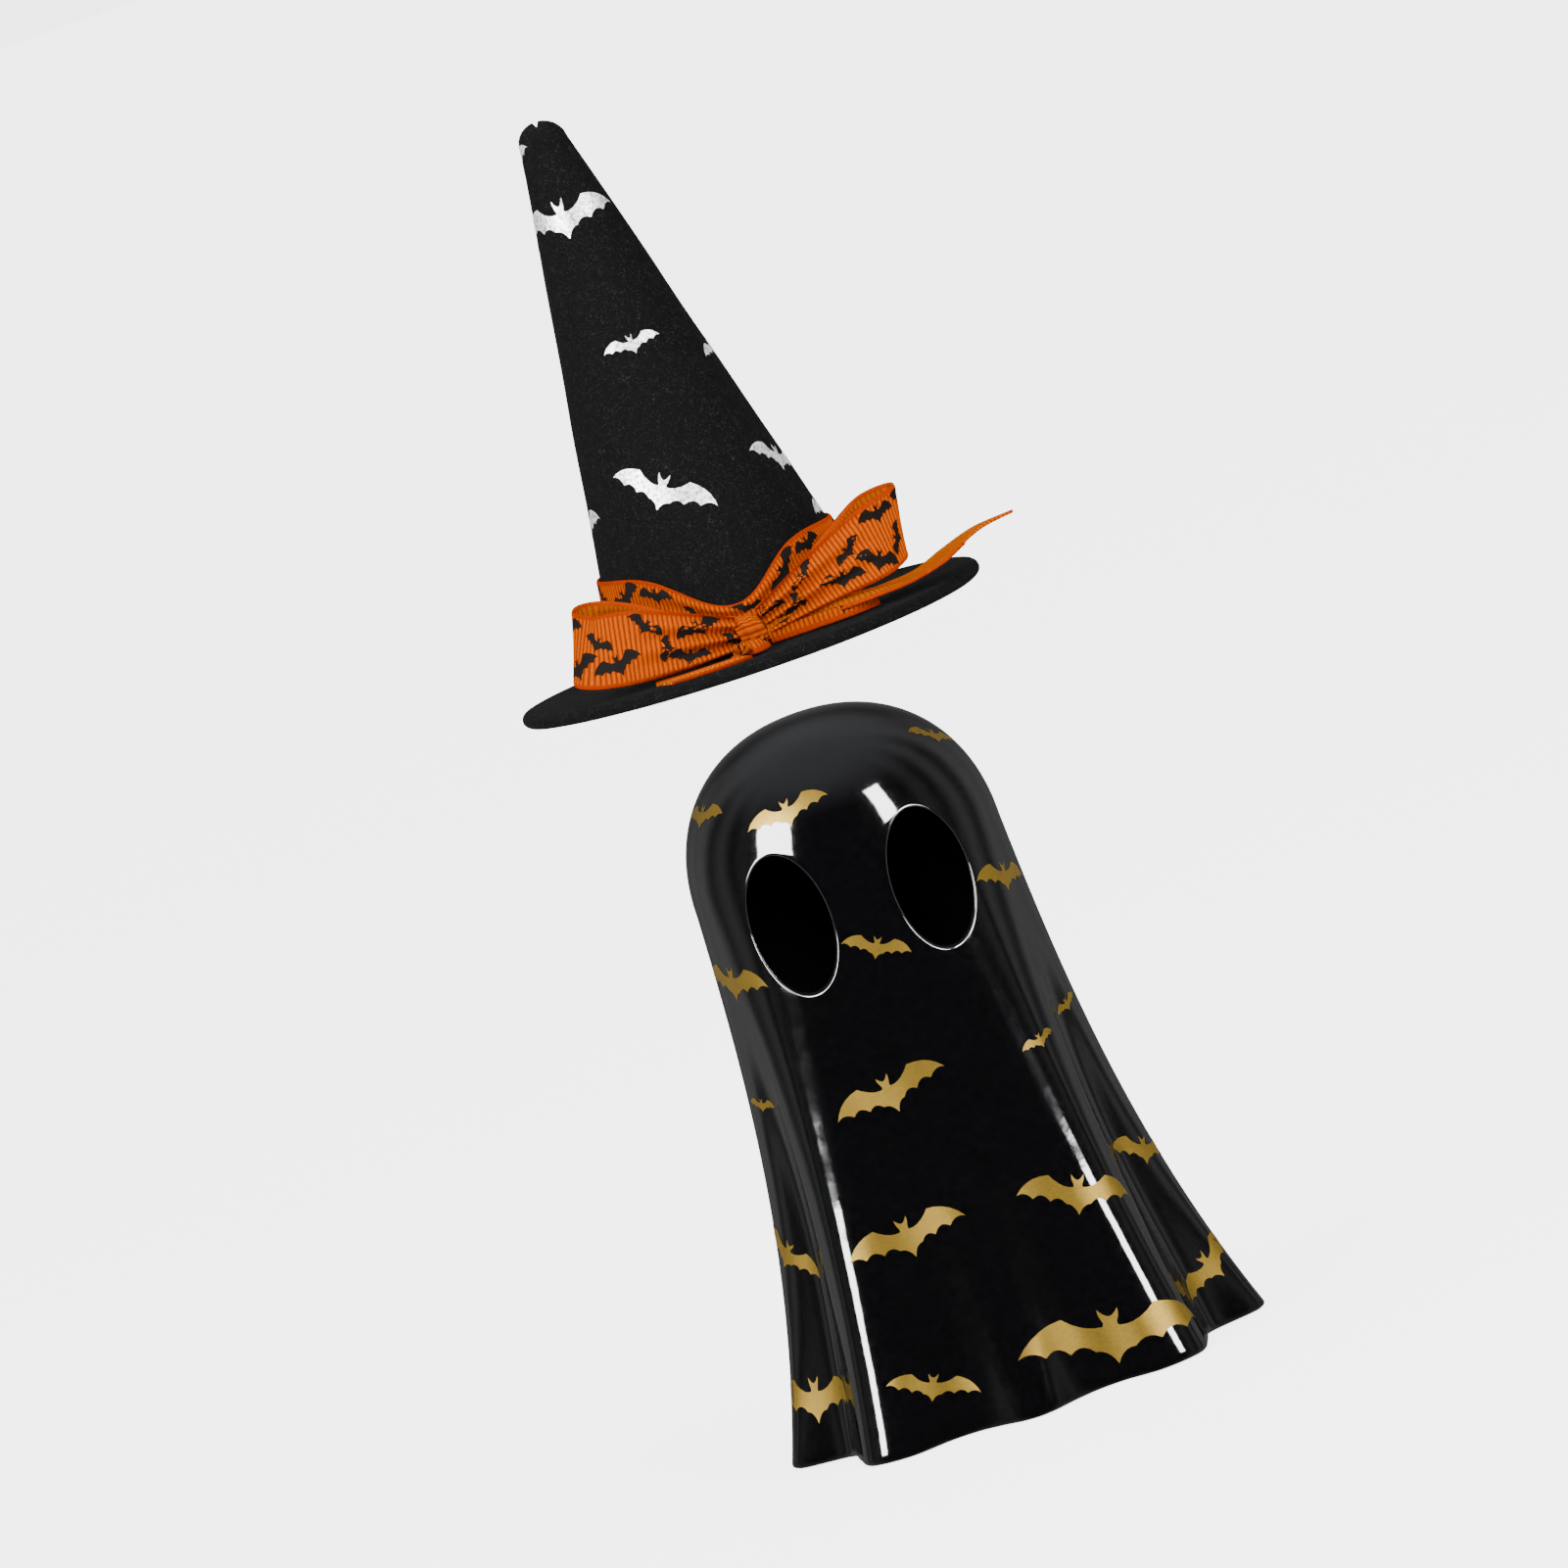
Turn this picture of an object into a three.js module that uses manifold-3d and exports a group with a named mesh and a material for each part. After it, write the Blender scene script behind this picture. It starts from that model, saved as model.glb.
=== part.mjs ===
// Light-up ghost: a hollow glazed ghost that stands over an electric tea light,
// with a felt witch hat that lifts off. +Z is up, -Y is the face, and the
// origin is on the table under the middle of the head. Millimetres.
import * as THREE from 'three';
import { mergeVertices } from 'three/addons/utils/BufferGeometryUtils.js';
import Module from 'manifold-3d';

const wasm = await Module();
wasm.setup();

// Running and seating gap between separate pieces.
const gap = 0.3;

// Ghost shell.
const shellWall = 4.5;
const headHalfWidth = 35.4;
const headHalfDepth = 31.5;
const shoulderHeight = 124;
const domeRise = 36;
const domePower = 2.2;
const flareStraight = 5.4;
const flareCurl = 15.4;
const flarePower = 2.6;
const footRound = 1.6;
const fluteDepth = 1.5;
const fluteAngle = 25;
const fluteReach = 112;
const eyeSpacing = 32.2;
const eyeHeight = 119;
const eyeHalfWidth = 8.7;
const eyeHalfHeight = 15.9;

// Hat, shown lifted clear of the head and a little to one side.
const hatShift = -4.2;
const hatUnderside = 176.3;
const brimRadius = 53.25;
const brimThickness = 3;
const brimHoleRadius = 27;
const brimEdgeRound = 1.3;
const brimHoleBreak = 0.5;
const coneBaseRadius = 30.2;
const coneHeight = 122.4;
const coneTipRadius = 5.5;
const coneLean = 0.0585;
const coneTipRound = 5;
const tipPinch = 1.3;
const feltThickness = 1.6;

// Grosgrain ribbon.
const ribbonWidth = 16;
const ribbonThickness = 0.6;
const bandHeight = 13.2;
const bandDip = 7.2;
const bandGather = 0.52;
const knotOffset = 1;
const knotLength = 6;
const knotHeight = 8;
const knotDepth = 6.4;
const loopLeftReach = 34.2;
const loopRightReach = 34.8;
const tailRightReach = 59.2;
const endRightReach = 24.5;
const tailLeftReach = 24;

// Tea light.
const lightRadius = 18.75;
const lightHeight = 15;
const lightWall = 1.2;
const dishDepth = 1.6;
const plateThickness = 1.8;
const flameHeight = 25;
const flameRadius = 6.2;
const flameNeckRadius = 4.8;
const flameWall = 1.2;
const flameLean = 1.2;
const ledRadius = 2.5;
const ledHeight = 8.6;
const ledSeat = 13;
const leadSize = 0.5;
const coinRadius = 10;
const coinHeight = 3.2;
const doorRadius = 10.6;
const doorThickness = 1.4;
const doorRecess = 0.4;
const doorOffset = -3.2;
const lugReach = 1.5;
const lugThickness = 0.8;
const lugHalfAngle = 16;
const lugNotchAngle = 58;
const wellWall = 1;
const stripThickness = 0.4;
const stripWidth = 3.6;
const knobLength = 3.4;
const knobWidth = 3;
const knobTravel = 3;
const slideFlange = 0.4;
const slideFlangeHeight = 1;

const rad = Math.PI / 180;

// Smooth hump: 1 at 0, falling to 0 at plus and minus 1.
function hump(t) {
  return Math.abs(t) < 1 ? Math.cos(t * Math.PI / 2) ** 2 : 0;
}

function mix(a, b, t) {
  return a + (b - a) * t;
}

// Joins rings of points, all with the same count, into one closed skin. Each
// open end is closed by a fan to the point given for it, or to its own middle.
function skin(rings, { loop = false, first = null, last = null } = {}) {
  const count = rings[0].length;
  const points = rings.flat();
  const index = [];
  const spans = loop ? rings.length : rings.length - 1;
  for (let i = 0; i < spans; i++) {
    const low = i * count;
    const high = ((i + 1) % rings.length) * count;
    for (let j = 0; j < count; j++) {
      const k = (j + 1) % count;
      index.push(low + j, low + k, high + k);
      index.push(low + j, high + k, high + j);
    }
  }
  if (!loop) {
    const middle = (ring) => ring.reduce((sum, p) => sum.add(p), new THREE.Vector3()).divideScalar(count);
    const ends = [[rings[0], first, 0, true], [rings.at(-1), last, (rings.length - 1) * count, false]];
    for (const [ring, given, offset, reversed] of ends) {
      points.push(given ?? middle(ring));
      const apex = points.length - 1;
      for (let j = 0; j < count; j++) {
        const k = (j + 1) % count;
        index.push(apex, offset + (reversed ? k : j), offset + (reversed ? j : k));
      }
    }
  }
  let volume = 0;
  for (let i = 0; i < index.length; i += 3) {
    const [a, b, c] = [points[index[i]], points[index[i + 1]], points[index[i + 2]]];
    volume += a.dot(new THREE.Vector3().crossVectors(b, c));
  }
  if (volume < 0) {
    index.reverse();
  }
  const geometry = new THREE.BufferGeometry().setFromPoints(points);
  geometry.setIndex(index);
  return geometry;
}

// A geometry as a solid for cutting and joining, and back again.
function solid(geometry) {
  const bare = geometry.clone();
  bare.deleteAttribute('normal');
  bare.deleteAttribute('uv');
  const merged = mergeVertices(bare, 1e-4);
  return new wasm.Manifold(new wasm.Mesh({
    numProp: 3,
    vertProperties: new Float32Array(merged.attributes.position.array),
    triVerts: new Uint32Array(merged.index.array),
  }));
}

function surface(body) {
  const mesh = body.getMesh();
  const geometry = new THREE.BufferGeometry();
  geometry.setAttribute('position', new THREE.BufferAttribute(new Float32Array(mesh.vertProperties), 3));
  geometry.setIndex(new THREE.BufferAttribute(new Uint32Array(mesh.triVerts), 1));
  return geometry;
}

// A flat outline raised from z = bottom by a height.
function raise(shape, bottom, height, segments = 24) {
  const geometry = new THREE.ExtrudeGeometry(shape, { depth: height, bevelEnabled: false, curveSegments: segments });
  return geometry.translate(0, 0, bottom);
}

function circle(radius, x = 0, y = 0) {
  return new THREE.Shape().absarc(x, y, radius, 0, 2 * Math.PI, false);
}

function rectangle(x0, x1, y0, y1) {
  return new THREE.Shape([
    new THREE.Vector2(x0, y0),
    new THREE.Vector2(x1, y0),
    new THREE.Vector2(x1, y1),
    new THREE.Vector2(x0, y1),
  ]);
}

// Part of a ring between two radii, centred on an angle in degrees.
function sector(inner, outer, angle, halfAngle, x = 0) {
  const shape = new THREE.Shape();
  const from = (angle - halfAngle) * rad;
  const to = (angle + halfAngle) * rad;
  shape.absarc(x, 0, outer, from, to, false);
  shape.absarc(x, 0, inner, to, from, true);
  shape.closePath();
  return shape;
}

// A profile of [radius, height] pairs turned about the vertical axis.
function revolve(profile, segments = 48) {
  const points = profile.map(([r, z]) => new THREE.Vector2(r, z));
  return new THREE.LatheGeometry(points, segments).rotateX(Math.PI / 2);
}

const group = new THREE.Group();

function add(name, geometry, look, parent = group) {
  const mesh = new THREE.Mesh(geometry, new THREE.MeshStandardMaterial(look));
  mesh.name = name;
  parent.add(mesh);
  return mesh;
}

const glaze = { color: 0x060607, roughness: 0.06, metalness: 0 };
const felt = { color: 0x0b0b0c, roughness: 0.95, metalness: 0 };
const ribbon = { color: 0xe8650f, roughness: 0.7, metalness: 0 };
const whitePlastic = { color: 0xe9e6dc, roughness: 0.45, metalness: 0 };
const amberPlastic = { color: 0xf3d9a0, roughness: 0.3, metalness: 0, transparent: true, opacity: 0.7 };
const clearEpoxy = { color: 0xf4e2b0, roughness: 0.1, metalness: 0 };
const steel = { color: 0xb9bcc0, roughness: 0.3, metalness: 1 };

// Ghost shell: the hem outline in plan is lofted up into the round head. Each
// key point of one quarter of the hem gives its place as shares of the hem's
// half width, the angle on the head that it runs up to, and how fast its fold
// fades on the way up. The cloth hangs in corner tubes and a ridge in the middle.
const hemHalfWidth = headHalfWidth + flareStraight + flareCurl;
const quarter = [
  [1, 0, 0, 1],
  [0.756, 0.169, 24, 0.9],
  [0.73, 0.338, 34, 0.85],
  [0.694, 0.516, 46, 0.85],
  [0.507, 0.596, 56, 1],
  [0.311, 0.552, 66, 1.2],
  [0.116, 0.605, 79, 1.1],
  [0, 0.694, 90, 1.1],
].map(([x, y, angle, fade]) => [x * hemHalfWidth, y * hemHalfWidth, angle, fade]);
const hemKeys = [];
for (let side = 0; side < 4; side++) {
  const run = side % 2 ? quarter.slice(1).reverse() : quarter.slice(0, -1);
  for (const [x, y, angle, fade] of run) {
    const left = side === 1 || side === 2;
    const front = side > 1;
    const turned = left ? 180 - angle : angle;
    hemKeys.push({
      point: new THREE.Vector3(left ? -x : x, front ? -y : y, 0),
      angle: (front ? 360 - turned : turned) % 360,
      fade,
    });
  }
}

// The same outline drawn in by a distance, corner by corner.
function inset(points, distance) {
  return points.map((p, i) => {
    const before = points.at(i - 1);
    const after = points[(i + 1) % points.length];
    const a = new THREE.Vector3(before.y - p.y, p.x - before.x, 0).normalize();
    const b = new THREE.Vector3(p.y - after.y, after.x - p.x, 0).normalize();
    const bisector = a.clone().add(b).normalize();
    const reach = distance / Math.max(bisector.dot(a), 0.45);
    return p.clone().addScaledVector(bisector, reach);
  });
}

const hemSteps = 3;

// One level ring of the shell. The draw is how far it lies inside the outer face.
function shellRing(height, draw, drop = 0) {
  const keys = hemKeys.map((key) => key.point);
  const outline = new THREE.CatmullRomCurve3(draw > 0 ? inset(keys, draw) : keys, true, 'centripetal');
  const up = THREE.MathUtils.clamp(1 - height / shoulderHeight, 0, 1);
  const spread = (flareStraight * up + flareCurl * up ** flarePower) / (flareStraight + flareCurl);
  const flute = fluteDepth * hump(2 * height / fluteReach - 1);
  const ring = [];
  for (let i = 0; i < hemKeys.length; i++) {
    const from = hemKeys[i];
    const to = hemKeys[(i + 1) % hemKeys.length];
    const turn = (to.angle - from.angle + 360) % 360;
    for (let j = 0; j < hemSteps; j++) {
      const t = j / hemSteps;
      const angle = from.angle + turn * t;
      const weight = spread ** mix(from.fade, to.fade, t);
      const hem = outline.getPoint((i + t) / hemKeys.length);
      const x = mix((headHalfWidth - draw) * Math.cos(angle * rad), hem.x, weight);
      const y = mix((headHalfDepth - draw) * Math.sin(angle * rad), hem.y, weight);
      const acute = Math.min(angle % 180, 180 - angle % 180);
      const length = Math.hypot(x, y);
      const pull = 1 - (flute * hump((acute - fluteAngle) / 13)) / length;
      ring.push(new THREE.Vector3(x * pull, y * pull, height - drop));
    }
  }
  return ring;
}

// One face of the shell from the apex of its dome down to the shoulder.
function domeRings(draw, steps) {
  const rings = [];
  const round = shellRing(shoulderHeight, draw);
  for (let i = 1; i < steps; i++) {
    const angle = (1 - i / steps) * 90 * rad;
    const shrink = Math.cos(angle) ** (2 / domePower);
    const lift = (domeRise - draw) * Math.sin(angle) ** (2 / domePower);
    rings.push(round.map((p) => new THREE.Vector3(p.x * shrink, p.y * shrink, shoulderHeight + lift)));
  }
  return rings;
}

function bodyRings(draw, lowest, steps) {
  const rings = [];
  for (let i = 0; i <= steps; i++) {
    const t = (i / steps) ** 0.85;
    rings.push(shellRing(mix(shoulderHeight, lowest, t), draw));
  }
  return rings;
}

// The foot rounds in to a flat ring that stands on the table.
function footRings() {
  const rings = [];
  for (const angle of [50, 90]) {
    const tuck = footRound * (1 - Math.cos(angle * rad));
    const height = footRound * (1 - Math.sin(angle * rad));
    rings.push(shellRing(height, tuck));
  }
  return rings;
}

const shellRings = [
  ...domeRings(0, 9),
  ...bodyRings(0, footRound, 15),
  ...footRings(),
  ...bodyRings(shellWall, 0, 9).reverse(),
  ...domeRings(shellWall, 6).reverse(),
];
const shellTop = shoulderHeight + domeRise;
let shellBody = solid(skin(shellRings, {
  first: new THREE.Vector3(0, 0, shellTop),
  last: new THREE.Vector3(0, 0, shellTop - shellWall),
}));

// Two upright oval eyes go straight through the front wall.
for (const side of [-1, 1]) {
  const oval = new THREE.Shape().absellipse(0, 0, eyeHalfWidth, eyeHalfHeight, 0, 2 * Math.PI, false, 0);
  const punch = raise(oval, 0, headHalfDepth + 10, 12);
  punch.rotateX(Math.PI / 2);
  punch.translate(side * eyeSpacing / 2, 0, eyeHeight);
  shellBody = shellBody.subtract(solid(punch));
}
add('ghost_shell', surface(shellBody), glaze);

// Hat: everything on it is placed from the middle of the brim's underside.
const hat = new THREE.Group();
hat.position.set(hatShift, 0, hatUnderside);
group.add(hat);

const edge = brimEdgeRound;
const brimProfile = [
  [brimHoleRadius, brimHoleBreak],
  [brimHoleRadius + brimHoleBreak, 0],
  [brimRadius - edge, 0],
];
for (const angle of [-45, 0, 45]) {
  const rise = Math.sin(angle * rad) * edge + (angle < 0 ? edge : brimThickness - edge);
  const middle = brimThickness / 2;
  brimProfile.push([brimRadius - edge + Math.cos(angle * rad) * edge, angle === 0 ? middle : rise]);
}
brimProfile.push(
  [brimRadius - edge, brimThickness],
  [brimHoleRadius + brimHoleBreak, brimThickness],
  [brimHoleRadius, brimThickness - brimHoleBreak],
  [brimHoleRadius, brimHoleBreak],
);
add('hat_brim', revolve(brimProfile, 64), felt, hat);

// The cone tapers straight, leans to one side, and ends in a rounded tip that
// its seam pinches into two low bumps.
const coneFoot = brimThickness + gap;
const coneSegments = 40;

function coneRadius(height) {
  return mix(coneBaseRadius, coneTipRadius, height / (coneHeight - coneTipRound));
}

function coneRing(height, radius, dip = 0) {
  const ring = [];
  for (let i = 0; i < coneSegments; i++) {
    const angle = 2 * Math.PI * i / coneSegments;
    const fold = dip * Math.sin(angle) ** 4;
    ring.push(new THREE.Vector3(
      radius * Math.cos(angle) - coneLean * height,
      radius * Math.sin(angle),
      coneFoot + height - fold,
    ));
  }
  return ring;
}

const coneRings = [];
for (const [angle, dip] of [[70, 0.9], [45, 0.55], [22, 0.2]]) {
  const height = coneHeight - coneTipRound * (1 - Math.sin(angle * rad));
  coneRings.push(coneRing(height, coneTipRadius * Math.cos(angle * rad), tipPinch * dip));
}
const coneSteps = 12;
for (let i = 0; i <= coneSteps; i++) {
  const height = (coneHeight - coneTipRound) * (1 - i / coneSteps);
  coneRings.push(coneRing(height, coneRadius(height)));
}
const hollowTop = (coneHeight - coneTipRound) * 0.95;
for (let i = 0; i < coneSteps; i++) {
  const height = hollowTop * i / (coneSteps - 1);
  coneRings.push(coneRing(height, coneRadius(height) - feltThickness));
}
const tipMiddle = new THREE.Vector3(-coneLean * coneHeight, 0, coneFoot + coneHeight - tipPinch);
const hollowMiddle = new THREE.Vector3(-coneLean * hollowTop, 0, coneFoot + hollowTop + feltThickness);
add('hat_cone', skin(coneRings, { first: tipMiddle, last: hollowMiddle }), felt, hat);

// Across the ribbon: a flat section with four points on each face.
function ribbonRing(centre, across, out, width) {
  const ring = [];
  const spots = [-1, -0.4, 0.4, 1];
  for (const [face, order] of [[1, spots], [-1, [...spots].reverse()]]) {
    for (const t of order) {
      ring.push(centre.clone()
        .addScaledVector(across, t * width / 2)
        .addScaledVector(out, face * ribbonThickness / 2));
    }
  }
  return ring;
}

// The band runs round the foot of the cone, dips at the front and is gathered
// there where the bow is tied over it.
const bandRings = [];
const bandSteps = 56;
const taper = (coneBaseRadius - coneTipRadius) / (coneHeight - coneTipRound);
const bandStand = gap + ribbonThickness / 2;
for (let i = 0; i < bandSteps; i++) {
  const angle = 360 * i / bandSteps;
  const away = Math.abs(((angle - 270 + 540) % 360) - 180);
  const dip = Math.exp(-((away / 26) ** 2));
  const width = ribbonWidth * mix(1, bandGather, dip);
  const height = bandHeight - Math.cos(angle * rad) * 1.4 - dip * bandDip;
  const radial = new THREE.Vector3(Math.cos(angle * rad), Math.sin(angle * rad), 0);
  const along = new THREE.Vector3(-Math.sin(angle * rad), Math.cos(angle * rad), 0);
  const up = radial.clone().multiplyScalar(-taper).add(new THREE.Vector3(-coneLean, 0, 1)).normalize();
  const out = new THREE.Vector3().crossVectors(along, up);
  const centre = radial.clone().multiplyScalar(coneRadius(height));
  centre.add(new THREE.Vector3(-coneLean * height, 0, coneFoot + height));
  centre.addScaledVector(out, bandStand);
  bandRings.push(ribbonRing(centre, up, out, width));
}
add('ribbon_band', skin(bandRings, { loop: true }), ribbon, hat);

// Knot: a short pleated wrap in front of the band.
const bandFront = coneRadius(bandHeight - bandDip) + bandStand + ribbonThickness / 2;
const knotBack = -(bandFront + gap + taper * knotHeight / 2);
const knotMiddle = brimThickness + gap + knotHeight / 2;
const knotRings = [];
const knotSteps = 10;
for (let i = 0; i <= knotSteps; i++) {
  const t = i / knotSteps;
  const pleat = 1 - 0.07 * (0.5 - 0.5 * Math.cos(t * 6 * Math.PI));
  const swell = pleat * (0.86 + 0.14 * Math.sin(t * Math.PI));
  const ring = [];
  for (let j = 0; j < 16; j++) {
    const angle = 2 * Math.PI * j / 16;
    const c = Math.cos(angle);
    const s = Math.sin(angle);
    ring.push(new THREE.Vector3(
      knotOffset + (t - 0.5) * knotLength,
      knotBack - knotDepth / 2 + Math.sign(c) * Math.abs(c) ** 0.7 * swell * knotDepth / 2,
      knotMiddle + Math.sign(s) * Math.abs(s) ** 0.7 * swell * knotHeight / 2,
    ));
  }
  knotRings.push(ring);
}
add('bow_knot', skin(knotRings), ribbon, hat);

// A length of ribbon through key points, starting at an x and reaching out by a
// length. Each key gives shares of that length for the middle of the ribbon:
// along it, forward or back of a given depth, and up from the brim. Then come
// the way its width runs and its width as a share. Square ends stop in a plane
// against the side of the knot.
function ribbonRun(start, reach, keys, steps, squareEnds = false) {
  const lift = brimThickness + gap + ribbonThickness / 2;
  const size = Math.abs(reach);
  const middles = keys.map(([along, depth, back, rise]) => (
    new THREE.Vector3(start + along * reach, depth + back * size, rise * size + lift)
  ));
  const widths = keys.map((key) => new THREE.Vector3(key[4], key[5], key[6]));
  const sizes = keys.map((key) => new THREE.Vector3(key[7] * ribbonWidth, 0, 0));
  const path = new THREE.CatmullRomCurve3(middles, false, 'centripetal');
  const across = new THREE.CatmullRomCurve3(widths, false, 'catmullrom');
  const breadth = new THREE.CatmullRomCurve3(sizes, false, 'catmullrom');
  const rings = [];
  for (let i = 0; i <= steps; i++) {
    const t = i / steps;
    const tangent = path.getTangent(t);
    const way = across.getPoint(t);
    way.addScaledVector(tangent, -way.dot(tangent)).normalize();
    const out = new THREE.Vector3().crossVectors(tangent, way);
    rings.push(ribbonRing(path.getPoint(t), way, out, breadth.getPoint(t).x));
  }
  for (const [ring, end] of [[rings[0], middles[0]], [rings.at(-1), middles.at(-1)]]) {
    if (squareEnds) {
      ring.forEach((p) => p.setX(end.x));
    }
  }
  return skin(rings);
}

const knotLeft = knotOffset - knotLength / 2 - gap;
const knotRight = knotOffset + knotLength / 2 + gap;
const knotFace = knotBack - knotDepth;
const knotSide = knotBack - knotDepth / 2;
const loopBack = knotBack - 1.2;
const loopFront = knotFace + 1.4;

add('bow_loop_left', ribbonRun(knotLeft, -loopLeftReach, [
  [0, loopBack, 0, 0.123, 0, 0, 1, 0.46],
  [0.263, loopBack, -0.012, 0.175, -0.1, 0, 1, 0.62],
  [0.585, loopBack, 0.099, 0.292, -0.2, 0, 1, 0.9],
  [0.848, loopBack, 0.164, 0.368, -0.1, 0, 1, 1],
  [1, loopBack, 0.058, 0.368, 0.3, -0.3, 1, 1],
  [0.921, loopBack, -0.099, 0.316, 0.5, 0.1, 1, 1],
  [0.643, loopFront, -0.082, 0.266, 0.3, 0.1, 1, 1],
  [0.322, loopFront, -0.064, 0.193, 0.2, 0.1, 1, 0.78],
  [0, loopFront, 0, 0.123, 0, 0, 1, 0.46],
], 34, true), ribbon, hat);

add('bow_loop_right', ribbonRun(knotRight, loopRightReach, [
  [0, loopBack, 0, 0.144, 0, 0, 1, 0.4],
  [0.259, loopBack, -0.011, 0.23, 0.1, 0, 1, 0.5],
  [0.575, loopBack, 0.115, 0.345, 0.1, 0, 1, 0.8],
  [0.833, loopBack, 0.247, 0.431, 0.1, 0, 1, 1],
  [0.983, loopBack, 0.259, 0.448, 0.12, 0, 1, 1],
  [1, loopBack, 0.132, 0.431, 0.16, 0, 1, 1],
  [0.805, loopFront, 0.046, 0.379, 0.16, 0.05, 1, 1],
  [0.402, loopFront, -0.017, 0.27, 0.1, 0.05, 1, 0.72],
  [0, loopFront, 0, 0.144, 0, 0, 1, 0.4],
], 34, true), ribbon, hat);

add('bow_tail_right', ribbonRun(knotRight, tailRightReach, [
  [0, knotSide, 0, 0.027, 0, 1, 0, 0.3],
  [0.151, loopFront, 0.04, 0.032, -0.15, 1, 0.03, 0.42],
  [0.319, loopFront, 0.081, 0.032, -0.4, 1, 0.03, 0.8],
  [0.487, loopFront, 0.174, 0.035, -0.5, 1, 0.05, 1],
  [0.638, loopFront, 0.252, 0.05, -0.5, 1, 0.06, 1],
  [0.755, loopFront, 0.319, 0.087, -0.5, 1, 0.08, 0.95],
  [0.889, loopFront, 0.376, 0.121, -0.35, 1, 0.08, 0.9],
  [1, loopFront, 0.413, 0.117, -0.25, 1, 0.08, 0.35],
], 22), ribbon, hat);

add('bow_end_right', ribbonRun(knotRight, endRightReach, [
  [0, loopFront, 0.024, 0, 0, 1, 0, 0.22],
  [0.408, loopFront, 0.016, 0, 0.1, 1, 0, 0.3],
  [0.735, loopFront, 0.065, 0, 0.2, 1, 0, 0.42],
  [1, loopFront, 0.18, 0, 0.3, 1, 0, 0.2],
], 10), ribbon, hat);

add('bow_tail_left', ribbonRun(knotOffset, -tailLeftReach, [
  [0, knotFace - gap, 0, 0.004, 1, 0, 0, 0.36],
  [0.042, knotFace, -0.208, 0, 1, 0.3, 0, 0.45],
  [0.208, knotFace, -0.358, 0, 0.9, 0.8, 0, 0.5],
  [0.5, knotFace, -0.358, 0, 0.1, 1, 0, 0.55],
  [0.75, knotFace, -0.3, 0, -0.1, 1, 0, 0.5],
  [1, knotFace, -0.25, 0, -0.2, 1, 0, 0.42],
], 16), ribbon, hat);

// Tea light housing: a cup turned open side down, with a dished top like a pool
// of wax and a hole for the flame.
const ceiling = lightHeight - lightWall;
const neckHole = flameNeckRadius + gap;
add('tealight_cup', revolve([
  [lightRadius - lightWall, 0],
  [lightRadius, 0],
  [lightRadius, lightHeight - 0.8],
  [lightRadius - 0.8, lightHeight],
  [lightRadius - 2, lightHeight],
  [lightRadius - 3.4, lightHeight - dishDepth * 0.7],
  [lightRadius - 6.5, lightHeight - dishDepth],
  [neckHole, lightHeight - dishDepth * 0.85],
  [neckHole, ceiling - dishDepth * 0.85],
  [lightRadius - 6.5, ceiling - dishDepth],
  [lightRadius - lightWall, ceiling - dishDepth],
  [lightRadius - lightWall, 0],
]), whitePlastic);

// Flame: a hollow teardrop that leans a little, held by a flange under the dish.
const flangeTop = ceiling - dishDepth - gap;
const flangeBottom = flangeTop - 1;
const flameFoot = lightHeight - dishDepth;
const flameSegments = 24;
const flameRings = [];

function flameRing(radius, height) {
  const t = THREE.MathUtils.clamp((height - flameFoot) / flameHeight, 0, 1);
  const lean = flameLean * Math.sin(t * Math.PI * 0.75);
  const ring = [];
  for (let i = 0; i < flameSegments; i++) {
    const angle = 2 * Math.PI * i / flameSegments;
    const x = radius * Math.cos(angle) + lean;
    ring.push(new THREE.Vector3(x, radius * 0.9 * Math.sin(angle), height));
  }
  return ring;
}

// Radius of the flame at a share of its height.
function flameAt(t) {
  const belly = flameRadius * Math.sin(Math.PI * (1 - t) ** 1.35) ** 0.8;
  return Math.max(t < 0.36 ? Math.max(belly, flameNeckRadius) : belly, 0.9);
}

flameRings.push(flameRing(1, flameFoot + flameHeight - 0.4));
for (const t of [0.94, 0.87, 0.79, 0.7, 0.6, 0.5, 0.4, 0.3, 0.2, 0.08]) {
  flameRings.push(flameRing(flameAt(t), flameFoot + flameHeight * t));
}
const flangeRadius = neckHole + 2.2;
const ledBore = ledRadius + 0.4 + gap;
flameRings.push(
  flameRing(flameNeckRadius, flangeTop),
  flameRing(flangeRadius, flangeTop),
  flameRing(flangeRadius, flangeBottom),
  flameRing(ledBore / 0.9, flangeBottom),
  flameRing(ledBore / 0.9, flameFoot),
);
for (const t of [0.12, 0.24, 0.36, 0.48, 0.6, 0.7]) {
  const clear = ledSeat + ledHeight + 1 - flameFoot > flameHeight * t ? ledBore / 0.9 : 0.6;
  flameRings.push(flameRing(Math.max(flameAt(t) - flameWall, clear), flameFoot + flameHeight * t));
}
add('flame_lens', skin(flameRings), amberPlastic);

// LED: domed body on a wider collar.
add('led', revolve([
  [0, ledSeat],
  [ledRadius + 0.4, ledSeat],
  [ledRadius + 0.4, ledSeat + 1],
  [ledRadius, ledSeat + 1],
  [ledRadius, ledSeat + ledHeight - ledRadius],
  [ledRadius * 0.87, ledSeat + ledHeight - ledRadius * 0.5],
  [ledRadius * 0.5, ledSeat + ledHeight - ledRadius * 0.13],
  [0, ledSeat + ledHeight],
], 20), clearEpoxy);

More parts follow.
